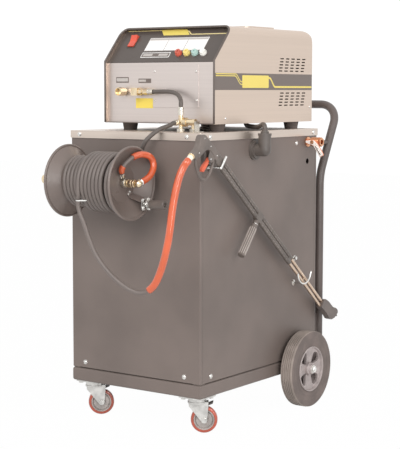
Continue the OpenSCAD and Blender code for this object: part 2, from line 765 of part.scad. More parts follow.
module brass_fittings() color("#d1b474") place() {
    // inlet stub with the shoulder that keeps the swivel nut on
    translate([inlet_x, 0, pump_z]) {
        y_rod(9, port_y - 3, crank_y - 110);
        y_rod(12, port_y - 3, port_y - 0.2);
    }
    // outlet elbow and its adapters
    translate([outlet_x, 0, pump_z]) {
        y_rod(9, port_y, crank_y - 110);
        translate([-15, port_y - 15, -15]) cube([30, 30, 30]);
    }
    translate([outlet_x, port_y, pump_z]) {
        x_hex(22, 15, 32);
        x_rod(9, 32, 40);
        x_hex(19, 40, 58);
    }
    // tee manifold on two nipples
    translate([0, tee_y, tee_z]) {
        x_rod(12.6, tee_x - 4, tee_x + nipple_gap + 10);
        x_hex(30, tee_x + 12, tee_x + 30);
        translate([tee_x - 4, 0, 0]) sphere(r = 13);
    }
    rod(tee_port, feed_start + 0.56 * (tee_port - feed_start), 9);
    for (x = [tee_x, tee_x + nipple_gap]) translate([x, tee_y, lid_z + 12]) cylinder(r = 8, h = 30);
    translate([tee_x, tee_y, tee_z]) cylinder(r = 9, h = 26);
    // fixed half of the reel's swivel
    translate([0, reel_y, reel_z]) difference() {
        union() {
            x_rod(17, swivel_x - 15, bearing_x);
            translate([swivel_x, 0, 0]) y_rod(9, 0, 33);
        }
        x_rod(shaft_r + run, swivel_x - 1, bearing_x + 1);
    }
}

// hose routes, chosen by hand: points relative to the port, the tee and the reel's axis
jumper = [
    [-15, port_y, pump_z], [4, port_y, pump_z], [38, port_y, pump_z + 1], [73, 139, pump_z - 1],
    [104, 133, pump_z - 10], [127, 121, pump_z - 28], [140, 107, pump_z - 47],
    [tee_x, tee_y, tee_z + 74], [tee_x, tee_y, tee_z + 56]
];
feed_start = [135.5, 70.6, lid_z + 33];
feed_way = (feed_start - tee_port) / norm(feed_start - tee_port);
feed = [
    feed_start + 0.1 * feed_way, feed_start + 4.1 * feed_way, feed_start + 8.1 * feed_way, [133, 50, lid_z + 26], [128, 22, lid_z + 19], [123, -3, lid_z + 11.5],
    [114, -29, lid_z - 4], [103, -45, lid_z - 20], [93, -52, lid_z - 35], [83, -53, lid_z - 55],
    [67, -46, lid_z - 75],
    [30, -30, reel_z + 84], [-15, -17, reel_z + 74],
    [-80, -14, reel_z + 70], [-150, -14, reel_z + 70], [-215, -15, reel_z + 69],
    [-250, -18, reel_z + 64], [-272, -32, reel_z + 46], [-282, -55, reel_z + 22],
    [swivel_x, -82, reel_z + 5], [swivel_x, reel_y + 68, reel_z], [swivel_x, reel_y + 57, reel_z]
];
suction_x = half_w + 47;
suction_top = lid_z + 8;
suction = [
    [suction_x, suction_y, suction_top], [suction_x, suction_y, suction_top + 6],
    [suction_x - 6, suction_y + 5, suction_top + 15], [suction_x - 20, suction_y + 16, suction_top + 17],
    [300, 392, suction_top + 9], [272, 415, suction_top + 6], [240, 437, suction_top + 6],
    [foot_x - 0, 449, suction_top + 9], [foot_x - 9, 451.5, suction_top + 17],
    [foot_x - 10, 452, head_z + 3], [foot_x - 10, 452, head_z + 11]
];

module supply_hoses() color("#33302e") place() {
    tube(smooth(jumper, 2), hose_r, 10);
    tube(smooth(feed, 2), hose_r, 8);
    tube(smooth(suction, 2), 9, 8);
}

// crimped ferrule from p to q
module ferrule(p, q) {
    rod(p, q, 11);
    rod(p + 0.12 * (q - p), p + 0.22 * (q - p), 12);
    rod(p + 0.78 * (q - p), p + 0.88 * (q - p), 12);
}

module hose_ferrules() color("#cfcac3") place() {
    ferrule([outlet_x + 58, port_y, pump_z], jumper[0]);
    ferrule([tee_x, tee_y, tee_z + 26], jumper[8]);
    ferrule(feed_start + 0.56 * (tee_port - feed_start), feed_start);
    ferrule([swivel_x, reel_y + 33, reel_z], feed[len(feed) - 1]);
    for (x = [tee_x, tee_x + nipple_gap]) translate([x, tee_y, lid_z])
        cylinder(d = 28 / cos(30), h = 12, $fn = 6);
    // bracket beside the manifold
    translate([tee_x + nipple_gap + 14, tee_y - 14, lid_z]) cube([3, 28, 40]);
    translate([tee_x + nipple_gap + 10, tee_y, tee_z]) x_rod(6, 0, 4);
    translate([tee_x + nipple_gap + 14, tee_y - 14, lid_z]) cube([22, 28, 3]);
}

module suction_elbow() color("#3c3836") place() {
    inner_x = half_w - 90;
    translate([0, suction_y, suction_z]) {
        x_rod(39, half_w, half_w + 7);
        x_rod(33, half_w + 7, half_w + 14);
        x_hex(62, half_w - panel_t - 9, half_w - panel_t);
        x_rod(24, half_w - 22, suction_x);
        x_rod(14, inner_x, half_w - 22);
        translate([suction_x, 0, 0]) sphere(r = 24);
        translate([inner_x, 0, 0]) sphere(r = 14);
    }
    translate([suction_x, suction_y, suction_z]) cylinder(r = 24, h = lid_z - 16 - suction_z);
    translate([suction_x, suction_y, lid_z - 16]) cylinder(r = 26, h = 8);
    translate([suction_x, suction_y, lid_z - 8]) cylinder(r = 16, h = 8);
    translate([suction_x, suction_y, lid_z]) cylinder(r = 11, h = 8);
    // drop tube into the tank
    translate([inner_x, suction_y, tank_z + 40]) cylinder(r = 14, h = suction_z - tank_z - 40);
}

lever_x = half_w + 40;
lever_y = valve_y - 27;

module valve_body() color("#c9c0ae") place() {
    translate([0, valve_y, valve_z]) {
        x_rod(20, half_w, half_w + 4);
        x_hex(34, half_w - panel_t - 6, half_w - panel_t);
        x_rod(10.5, half_w - 20, half_w + 30);
        x_hex(30, half_w + 17, half_w + 25);
        difference() {
            union() {
                x_rod(19, half_w + 25, half_w + 57);
                x_hex(32, half_w + 57, half_w + 67);
            }
            x_rod(10, half_w + 49, half_w + 68);
        }
        translate([lever_x, 0, 0]) y_rod(8, -23, 0);
        translate([lever_x, 0, 0]) y_rod(5, -32, 0);
        translate([lever_x, 0, 0]) y_rod(8, -34, -30.2);
    }
    // clevis of the float arm inside the panel
    translate([0, valve_y, float_z]) {
        for (s = [-1, 1]) along_y(s * 6.5 - 1.5, s * 6.5 + 1.5) {
            translate([float_x, 0]) circle(7);
            translate([float_x, -7]) square([half_w - 20 - float_x + 4, 26]);
        }
        translate([half_w - 24, -8, -7]) cube([6, 16, 26]);
        translate([float_x, 0, 0]) y_rod(3, -8, 8);
    }
}

module valve_lever() color("#dcd8d3") place() translate([lever_x, lever_y, valve_z]) difference() {
    along_y(-3, 0) {
        circle(9);
        bar2d([0, 0], [-26, 2], 12);
        bar2d([0, 0], [14, -20], 14);
        for (d = [-5, 5]) bar2d([14 + d * 0.7, -20 + d * 0.6], [36 + d, -54 + d * 0.8], 6);
    }
    y_rod(5 + run, -4, 1);
}

// ---------------------------------------------------------------- hose reel
bearing_x = -250;
arm_right = -190;
disc_left = -133;
disc_right = 74;
rim_left = -181;
rim_right = 122;
disc_r = 70;
cone_r = flange_r - 5;
lock_y = 62;
lock_out = disc_left - flange_t - 1.5;

module at_reel() place() translate([0, reel_y, reel_z]) children();

module reel_bracket() color("#6a625c") at_reel() {
    plate_x = bearing_x - 25;
    difference() {
        union() {
            x_rod(26, bearing_x, arm_right);
            for (x = [bearing_x, arm_right - 6]) along_x(x, x + 6) {
                circle(28);
                polygon([[-8, 27], [-8, -27], [reel_out - 5, -80], [reel_out - 5, 44]]);
            }
        }
        x_rod(shaft_r + run, bearing_x - 1, arm_right + 1);
        translate([0, lock_y, 0]) x_rod(4 + run, arm_right - 20, arm_right + 10);
    }
    difference() {
        translate([arm_right, lock_y, 0]) x_rod(9, -18, 10);
        translate([arm_right, lock_y, 0]) x_rod(4 + run, -19, 11);
    }
    translate([plate_x, reel_out - 5, -85]) cube([arm_right + 25 - plate_x, 5, 133]);
    for (x = [plate_x + 12, arm_right + 13], z = [-72, 36]) translate([x, reel_out - 9, z])
        rotate([-90, 0, 0]) cylinder(d = 15 / cos(30), h = 4, $fn = 6);
}

// dished flange: flat disc, cone and rolled rim, drawn as radius and distance along the axis
module flange_profile(dish) {
    t = flange_t;
    polygon([[shaft_r - 1, 0], [disc_r, 0], [cone_r, dish], [cone_r, dish + t * 1.2],
        [disc_r - 1, t], [shaft_r - 1, t]]);
    translate([cone_r, dish + 1.5]) circle(5);
}

module reel_drum() color("#6f665f") at_reel() {
    saddle = [wind_left - 7, 2 * hose_r + 1, 0];
    translate([disc_right, 0, 0]) rotate([0, 90, 0]) rotate_extrude()
        flange_profile(rim_right - disc_right - 4);
    difference() {
        union() {
            translate([disc_left, 0, 0]) rotate([0, -90, 0]) rotate_extrude()
                flange_profile(disc_left - rim_left - 4);
            x_rod(core_r, disc_left, disc_left + 3);
        }
        for (k = [0:3]) rotate([k * 90, 0, 0]) translate([0, lock_y, 0])
            x_rod(4.4, disc_left - 10, disc_left + 5);
    }
    // core tube and shaft
    difference() {
        x_rod(core_r, disc_left, disc_right);
        x_rod(core_r - 3, disc_left - 1, disc_right + 1);
    }
    x_rod(core_r, disc_right - 3, disc_right);
    x_rod(shaft_r, swivel_x + 5, disc_right + flange_t);
    for (x = [disc_left, disc_right - 6]) x_rod(26, x, x + 6);
    // saddle that the hose's inner end butts on
    rod([wind_left, hose_d, wind_low_r], [wind_left, hose_d + 12, wind_low_r], hose_r);
    translate([wind_left - 6, hose_d + 0.5, core_r - 8]) cube([12, 11, wind_low_r - core_r + 8]);
}

// winding: stations of turns, place along the drum and radius
wind_pitch = 17.2;
wind_exit = -43;
wind_right = 87;
wind_left = -127;
wind_top_r = core_r + 27;
wind_low_r = core_r + 9.8;
wind_last = 26;
wind_drop = 11.5;
top_turns = (wind_right - wind_last - wind_exit) / wind_pitch;
low_start = -48;
low_turns = (low_start - wind_left) / wind_pitch;
wind_turns = floor(top_turns + low_turns + 3.5) + 0.25;
wind_stations = [0, top_turns, top_turns + 1, top_turns + 1.25, wind_turns - low_turns, wind_turns];
wind_places = [wind_exit, wind_right - wind_last, wind_right, wind_right - wind_drop, low_start, wind_left];
wind_radii = [wind_top_r, wind_top_r, wind_top_r, wind_low_r, wind_low_r, wind_low_r];
tail_l = 65;

function wound(t) =
    let (r = lookup(t, [for (i = [0:5]) [wind_stations[i], wind_radii[i]]]),
         x = lookup(t, [for (i = [0:5]) [wind_stations[i], wind_places[i]]]))
    [x, -r * cos(360 * t), r * sin(360 * t)];

wind_path = concat(
    [[wind_exit, -wind_top_r, -tail_l], [wind_exit, -wind_top_r, -tail_l / 2]],
    [for (i = [0:floor(24 * wind_turns)]) wound(i / 24)],
    [[wind_left, hose_d, wind_low_r]]
);

// least distance between the tube's skin and itself, on points half a turn or more apart
function wind_gap() = min([
    for (i = [0:len(wind_path) - 1], j = [i + 12:1:min(i + 120, len(wind_path) - 1)])
        norm(wind_path[i] - wind_path[j])
]) - hose_d;

module hose_winding() color("#e06a44") at_reel() {
    echo(least_self_gap_mm = wind_gap());
    tube(wind_path, hose_r, 6);
}

stud_at = [75, -78];
stud_r = norm(stud_at);

link_sheath = [
    [150, 13, 4], [150, 26, 8], [151, 45, 15], [150, 72, 30], [147, 92, 56],
    [142, 93, 80], [139, 74, 97], [130, 46, 103], [122, 20, 99], [119, 8, 94]
];
link_core = [
    [119, 8, 94], [116.5, -2, 89.8], [111, -15, 78], [104, -26, 62], [97, -26, 47],
    [92, -20, 38], [90.5, -17, 34]
];
link_end = link_core[6] + 10 * unit(link_core[6] - link_core[5]);

module link_hose() color("#d8683f") at_reel() {
    tube(smooth(link_sheath, 2), 12, 8);
    tube(smooth(link_core, 2), hose_r, 8);
}

module reel_fittings() color("#cfc6b4") at_reel() {
    // shaft nut, adapter and elbow
    x_hex(30, disc_right + flange_t, disc_right + 20);
    x_rod(11, disc_right + 20, 137);
    x_hex(26, 104, 124);
    x_rod(13, 137, 150);
    translate([150, 0, 0]) sphere(r = 13.4);
    rod([150, 0, 0], link_sheath[0], 11);
    // inlet of the winding in the dish
    rod(link_core[6], link_end, 8);
    translate(link_end) sphere(r = 8.8);
    translate([0, link_end.y, link_end.z]) x_rod(8, disc_right + flange_t, link_end.x);
    // crank arm: foot on the disc, riser and pad for the stud
    rotate([atan2(stud_at.y, stud_at.x), 0, 0]) {
        x0 = disc_right + flange_t;
        translate([0, 0, -12]) linear_extrude(24) polygon([[x0, 38], [x0, 66], [rim_right, 90],
            [rim_right, 122], [rim_right + 3.5, 122], [rim_right + 3.5, 88.6], [x0 + 3.5, 64.6],
            [x0 + 3.5, 38]]);
        translate([0, stud_r, 0]) {
            x_rod(9, rim_right + 3.5, 144.7);
            x_rod(5, 140, 205);
        }
        for (s = [-5, 5]) translate([0, 52, s]) x_rod(4, x0 + 3.5, x0 + 8);
    }
}

module crank_knob() color("#2e2b29") at_reel() translate([0, stud_at.x, stud_at.y]) difference() {
    translate([145, 0, 0]) rotate([0, 90, 0]) rotate_extrude() polygon([[0, 0], [12, 0], [15, 10],
        [16, 30], [15.5, 50], [13, 64], [9, 70], [0, 70]]);
    x_rod(5 + run, 144, 205.2);
}

module lock_pin() color("#cfcac3") at_reel() translate([0, lock_y, 0]) {
    x_rod(4, arm_right - 40, lock_out);
    x_rod(9, arm_right - 46, arm_right - 32);
    x_rod(6, arm_right - 33, arm_right - 30.5);
}

// strap round the tail and the turn beside it
module hose_tie() color("#eceae6") at_reel() {
    z = -tail_l + 3;
    y2 = -sqrt(wind_top_r * wind_top_r - z * z);
    x2 = wind_exit + wind_pitch * 0.895;
    a = atan2(y2 + wind_top_r, x2 - wind_exit);
    translate([wind_exit, -wind_top_r, z - 2]) rotate(a) linear_extrude(4) difference() {
        bar2d([0, 0], [norm([x2 - wind_exit, y2 + wind_top_r]), 0], hose_d + 3);
        bar2d([0, 0], [norm([x2 - wind_exit, y2 + wind_top_r]), 0], hose_d + 0.6);
    }
}

// places on the gun and lance, as distance down the lance and height above its middle
tube_low = -3 - lance_gap / 2;
tube_high = -3 + lance_gap / 2;
tube_end = lance_a + lance_l;
grip_end = [-4, -92];
grip_dir = [-8, -36] / norm([8, 36]);
pivot = [85, -38];

// a place in the gun's frame, given as distance down the lance and height, in the main frame
function gun_point(p) = [
    gun_x,
    gun_y + p.x * cos(gun_tilt) - p.y * sin(gun_tilt),
    gun_z + p.x * sin(gun_tilt) + p.y * cos(gun_tilt)
];

handle_a = 484;

// ---------------------------------------------------------------- delivery hose
hose_front = reel_y - wind_top_r;
gun_inlet = gun_point(grip_end + 24 * grip_dir);
gun_way = unit(gun_inlet - gun_point(grip_end));
delivery = [
    [wind_exit, hose_front, reel_z - tail_l], [wind_exit, hose_front, reel_z - tail_l - 17], [-37, -267, 832], [-19, -267, 797], [4, -263, 736],
    [26, -258, 687], [62, -251, 640], [104, -244, 601], [150, -236, 571], [185, -228, 557],
    [210, -222, 555], [236, -217, 565], [262, -211, 592], [285, -205, 646], [300, -198, 709],
    [309, -191, 770], [314, -181, 850], [319, -170, 910], [326, -156, 966], [336, -143, 1002],
    gun_inlet + 12 * gun_way, gun_inlet
];
guard_from = 22;
route = smooth(delivery, 2);
route_t = tangents(route);
route_u = sides(route_t);

function from_to(v, a, b) = [for (i = [a:b]) v[i]];

module delivery_hose() color("#e06a44") place() tube(route, hose_r, 10);

module hose_guard() color("#e8743f") place() {
    last = len(route) - 1;
    sleeve(from_to(route, guard_from, last), from_to(route_t, guard_from, last),
        from_to(route_u, guard_from, last), 13.5, hose_r + 0.5, 10);
}

// ---------------------------------------------------------------- gun and lance
// the gun's frame: Y runs down the lance, -Z points to the grip
module at_gun() place() translate([gun_x, gun_y, gun_z]) rotate([gun_tilt, 0, 0]) children();

function past_grip(d) = [0, grip_end.x + d * grip_dir.x, grip_end.y + d * grip_dir.y];

module hose_connector() color("#e9e3d6") at_gun() {
    rod(past_grip(0), past_grip(5), 13);
    rod(past_grip(0), past_grip(24), 10.6);
}

module gun_body() color("#45413e") at_gun() {
    difference() {
        union() {
            // grip and barrel in one, with the rounded heel behind
            along_x(-12.5, 12.5) polygon([[-13, -19], [-11, -5], [-3, 5], [12, 9], [60, 9], [118, 12],
                [118, -22], [104, -22], [95, -17], [62, -17], [46, -25], [38, -38], [27, -74],
                [12, -95.556], [-17, -89.111], [-7, -80], [0, -58], [0, -38]]);
            // guard loop
            along_x(-6, 6) {
                bar2d([14, -84], [34, -101], 9);
                bar2d([34, -101], [62, -115], 9);
                bar2d([62, -115], [92, -120], 9);
                bar2d([92, -120], [113, -108], 9);
                bar2d([113, -108], [122, -82], 9);
                bar2d([122, -82], [121, -54], 9);
                bar2d([121, -54], [111, -18], 9);
            }
            // housing of the trigger's pivot
            along_x(-10.5, 10.5) polygon([[62, -12], [107, -12], [98, -46], [76, -46]]);
        }
        along_x(-6.6, 6.6) polygon([[60, -22.5], [110, -22.5], [110, -60], [60, -60]]);
    }
    translate([0, pivot.x, pivot.y]) x_rod(3, -11, 11);
}

// one outline: the hub's arc, then the blade
trigger_outline = concat([for (t = [-30:15:210]) 7 * [cos(t), sin(t)]],
    [[-9, -14], [-13, -34], [-15, -50], [-12, -59], [-5, -62], [1, -57], [3, -36], [5, -14]]);

module trigger() color("#d9532f") at_gun() translate([0, pivot.x, pivot.y]) difference() {
    along_x(-6, 6) polygon(trigger_outline);
    x_rod(3 + run, -7, 7);
}

module lance_tubes() color("#dcd8d3") at_gun() {
    for (z = [tube_low, tube_high]) translate([0, 0, z]) y_rod(lance_d / 2, lance_a, tube_end);
    translate([0, 0, -3]) y_rod(5, tube_end - 200, tube_end - 194);
}

module lance_sleeves() color("#4a4643") at_gun() difference() {
    union() {
        for (z = [tube_low, tube_high]) translate([0, 0, z]) {
            y_rod(9.3, lance_a + 2, 782);
            for (k = [0:10]) translate([0, 180 + k * 26, 0]) y_rod(9.7, 0, 14);
            for (k = [0:9]) translate([0, 520 + k * 25, 0]) y_rod(9.7, 0, 14);
        }
        translate([-7, lance_a + 2, tube_low]) cube([14, 34, lance_gap]);
        translate([-9, handle_a - 19, tube_low - 11]) cube([18, 38, lance_gap + 18]);
        translate([-7, 760, tube_low]) cube([14, 20, lance_gap]);
        translate([0, handle_a, tube_low - 40]) cylinder(r = 6, h = 32);
    }
    for (z = [tube_low, tube_high]) translate([0, 0, z]) y_rod(lance_d / 2 + run, 0, 800);
}

module side_handle() color("#3e3a38") at_gun() translate([0, handle_a, 0]) {
    top = tube_low - 11 - seat;
    difference() {
        union() {
            translate([0, 0, top - 16]) cylinder(r = 11, h = 16);
            translate([0, 0, top - 156]) cylinder(r = 12.4, h = 140);
            for (k = [0:12]) translate([0, 0, top - 150 + k * 10]) cylinder(r = 13.6, h = 6);
            translate([0, 0, top - 160]) cylinder(r = 14.5, h = 7);
        }
        translate([0, 0, top - 32]) cylinder(r = 6 + run, h = 40);
    }
}

module nozzle_holder() color("#4c4845") at_gun() {
    difference() {
        along_x(-12.5, 12.5) polygon([[tube_end - 14, -20], [tube_end - 14, 16], [tube_end - 6, 24],
            [tube_end + 22, 30], [tube_end + 64, 31], [tube_end + 88, 41], [tube_end + 104, 43],
            [tube_end + 114, 36], [tube_end + 106, 6], [tube_end + 90, -14], [tube_end + 74, -20],
            [tube_end + 32, -16]]);
        for (z = [tube_low, tube_high]) translate([0, 0, z]) y_rod(lance_d / 2 + run, tube_end - 20, tube_end);
    }
    translate([0, tube_end + 104, 29]) y_rod(4.5, 0, 25);
}

hook_low = tube_low - lance_d / 2 - 3.5 - 0.3;

module lance_hooks() color("#e6e3de") place() {
    translate([0, gun_y, gun_z]) rotate([gun_tilt, 0, 0]) {
        // upper cradle under the sleeves
        translate([0, 150, tube_low - 9.7 - 5 - 0.3]) x_rod(5, half_w, gun_x + 15);
        translate([gun_x + 15, 150, tube_low - 15]) cylinder(r = 5, h = 52);
        translate([gun_x + 15, 150, tube_low - 15]) sphere(r = 5.4);
        translate([0, 150, tube_low - 15]) x_rod(14, half_w, half_w + 4);
        // lower wire hook and its screw
        translate([0, 915, hook_low]) x_rod(3.5, half_w, gun_x + 13);
        translate([0, 915, hook_low]) x_rod(12, half_w, half_w + 3);
        translate([gun_x + 13, 915, hook_low]) sphere(r = 4.2);
    }
    hook_y = gun_y + 915 * cos(gun_tilt) - hook_low * sin(gun_tilt);
    hook_z = gun_z + 915 * sin(gun_tilt) + hook_low * cos(gun_tilt);
    translate([gun_x + 13, hook_y, hook_z + 50]) rotate([90, 0, 90]) rotate([0, 0, 185])
        rotate_extrude(angle = 170) translate([50, 0]) circle(3.5);
    translate([0, 645, 600]) {
        x_rod(10, half_w, half_w + 3);
        x_rod(7, half_w + 3, half_w + 12);
    }
}

// ---------------------------------------------------------------- output
base_tray();
cabinet_frame();
front_panel();
left_panel();
right_panel();
rear_panel();
lid();
panel_screws();
water_tank();
float_arm();
push_handle();
rear_axle();
rear_hub_left();
rear_hub_right();
rear_tyre_left();
rear_tyre_right();
caster_plates();
caster_fork_left();
caster_fork_right();
caster_wheel_left();
caster_wheel_right();
caster_brake_left();
caster_brake_right();
head_chassis();
head_hood();
head_front();
control_panel();
head_feet();
motor();
pump();
rocker_switch();
nozzle_red();
nozzle_yellow();
nozzle_green();
nozzle_white();
inlet_swivel();
brass_fittings();
supply_hoses();
hose_ferrules();
suction_elbow();
valve_body();
valve_lever();
reel_bracket();
reel_drum();
hose_winding();
link_hose();
reel_fittings();
crank_knob();
lock_pin();
hose_tie();
delivery_hose();
hose_guard();
hose_connector();
gun_body();
trigger();
lance_tubes();
lance_sleeves();
side_handle();
nozzle_holder();
lance_hooks();
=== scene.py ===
"""Looks of the pressure washer: finishes, hoses, badges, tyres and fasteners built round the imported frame."""

import json
import logging
import math
from dataclasses import dataclass, field
from enum import Enum
from typing import Callable, Sequence

import bmesh
import bpy
from mathutils import Matrix, Vector

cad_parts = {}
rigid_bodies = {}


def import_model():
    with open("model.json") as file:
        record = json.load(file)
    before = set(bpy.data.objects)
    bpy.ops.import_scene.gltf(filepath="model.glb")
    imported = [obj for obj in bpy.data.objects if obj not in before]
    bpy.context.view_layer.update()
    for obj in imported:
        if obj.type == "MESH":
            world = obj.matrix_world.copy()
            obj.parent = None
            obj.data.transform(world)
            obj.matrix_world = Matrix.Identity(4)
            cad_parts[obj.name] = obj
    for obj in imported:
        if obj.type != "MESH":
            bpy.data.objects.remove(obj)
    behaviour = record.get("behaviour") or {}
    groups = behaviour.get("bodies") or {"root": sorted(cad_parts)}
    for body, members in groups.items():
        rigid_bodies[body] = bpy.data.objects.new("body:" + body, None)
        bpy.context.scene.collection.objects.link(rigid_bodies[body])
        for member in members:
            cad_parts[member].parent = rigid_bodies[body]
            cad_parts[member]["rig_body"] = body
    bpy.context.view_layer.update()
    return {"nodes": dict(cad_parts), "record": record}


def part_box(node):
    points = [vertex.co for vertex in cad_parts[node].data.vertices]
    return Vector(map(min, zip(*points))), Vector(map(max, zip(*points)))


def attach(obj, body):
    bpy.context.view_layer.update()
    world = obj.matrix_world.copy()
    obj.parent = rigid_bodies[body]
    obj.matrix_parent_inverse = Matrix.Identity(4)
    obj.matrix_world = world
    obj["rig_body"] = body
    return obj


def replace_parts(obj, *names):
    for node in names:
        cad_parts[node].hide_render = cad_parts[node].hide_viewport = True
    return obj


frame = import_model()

log = logging.getLogger("washer")
logging.basicConfig(level=logging.INFO, format="%(name)s: %(message)s")

Point = Sequence[float]
Colour = tuple[float, float, float]
Outline = Sequence[tuple[float, float]]
Radius = float | Callable[[float], float]
Work = bmesh.types.BMesh
Piece = bpy.types.Object
Material = bpy.types.Material
Socket = bpy.types.NodeSocket

MM = 0.001
Y_SHIFT = -356.688
X_AXIS, Z_AXIS = Vector((1, 0, 0)), Vector((0, 0, 1))
SLOT_OF = {part["node"]: part["material_slot"] for part in frame["record"]["subparts"]}
BODY_OF = {name: node["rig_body"] for name, node in frame["nodes"].items()}


# ---------------------------------------------------------------- places
def tone(red: float, green: float, blue: float) -> Colour:
    """Linear colour of a paint chip whose values go from 0 to 255.

    Args:
        red, green, blue: its channels.

    Returns:
        The linear colour.
    """
    def linear(value: float) -> float:
        """One channel made linear."""
        share = value / 255
        return share / 12.92 if share <= 0.04045 else ((share + 0.055) / 1.055) ** 2.4
    return linear(red), linear(green), linear(blue)


def shade(colour: Colour, factor: float, lift: float = 0.0) -> Colour:
    """Colour made darker or lighter by a factor, then lifted, up to full."""
    return tuple(min(1.0, c * factor + lift) for c in colour)


@dataclass(frozen=True)
class Plane:
    """A working place on the machine: origin and three axes, in millimetres from the cabinet's front."""

    origin: Point
    across: Point
    up: Point
    out: Point

    def at(self, u: float, v: float, w: float = 0.0) -> Vector:
        """Point in metres that lies u, v and w millimetres across, up and out."""
        p = Vector(self.origin) + u * Vector(self.across) + v * Vector(self.up) + w * Vector(self.out)
        return Vector((p.x, p.y + Y_SHIFT, p.z)) * MM

    def way(self, u: float, v: float, w: float) -> Vector:
        """Direction with those parts across, up and out."""
        return self.at(u, v, w) - self.at(0, 0, 0)

    def normal(self) -> Vector:
        """Direction out of the plane."""
        return Vector(self.out).normalized()


def tilted(origin: Point, angle: float = 0.0) -> Plane:
    """Place whose axes are the machine's, turned about X by an angle in radians."""
    return Plane(origin, (1, 0, 0), (0, math.cos(angle), math.sin(angle)),
                 (0, -math.sin(angle), math.cos(angle)))


def facing_side(origin: Point) -> Plane:
    """Upright place that looks to the right."""
    return Plane(origin, (0, 1, 0), (0, 0, 1), (1, 0, 0))


def facing_front(origin: Point) -> Plane:
    """Upright place that looks to the front."""
    return Plane(origin, (1, 0, 0), (0, 0, 1), (0, -1, 0))


MAIN = tilted((0, 0, 0))
HEAD_SIDE = facing_side((260, 0, 0))
HEAD_FRONT = facing_front((0, 165, 0))
SLANT_FACE = tilted((0, 165, 1373.29), math.radians(48.28))
REEL = tilted((0, -163, 935))
GUN = tilted((345, -47, 1107), math.radians(-40))
GUN_SIDE = Plane(GUN.origin, GUN.up, GUN.out, (1, 0, 0))
CRANK_TURN = math.atan2(-78, 75)
CRANK = tilted(REEL.origin, CRANK_TURN)


def row(points: Sequence[Point], plane: Plane = MAIN) -> list[Vector]:
    """Points of a plane brought to the shared frame."""
    return [plane.at(*p) for p in points]


def side_name(side: int) -> str:
    """Name of the side with that sign."""
    return "right" if side > 0 else "left"


# ---------------------------------------------------------------- shader maths
class Field:
    """A node's output with the arithmetic that a finish needs."""

    def __init__(self, shop: "Shop", socket: Socket) -> None:
        """Keeps the socket and the material that it belongs to."""
        self.shop, self.socket = shop, socket

    def __add__(self, other: object) -> "Field":
        """Sum."""
        return self.shop.math("ADD", self, other)

    __radd__ = __add__

    def __sub__(self, other: object) -> "Field":
        """Difference."""
        return self.shop.math("SUBTRACT", self, other)

    def __rsub__(self, other: object) -> "Field":
        """Difference from another value."""
        return self.shop.math("SUBTRACT", other, self)

    def __mul__(self, other: object) -> "Field":
        """Product."""
        return self.shop.math("MULTIPLY", self, other)

    __rmul__ = __mul__

    def __abs__(self) -> "Field":
        """Size without sign."""
        return self.shop.math("ABSOLUTE", self)

    def sine(self) -> "Field":
        """Sine of the value in radians."""
        return self.shop.math("SINE", self)

    def between(self, low: float, high: float) -> "Field":
        """Smooth step from 0 at the low value to 1 at the high one."""
        return self.shop.add("ShaderNodeMapRange", 0, {"interpolation_type": "SMOOTHSTEP"},
                             {0: self, 1: low, 2: high})


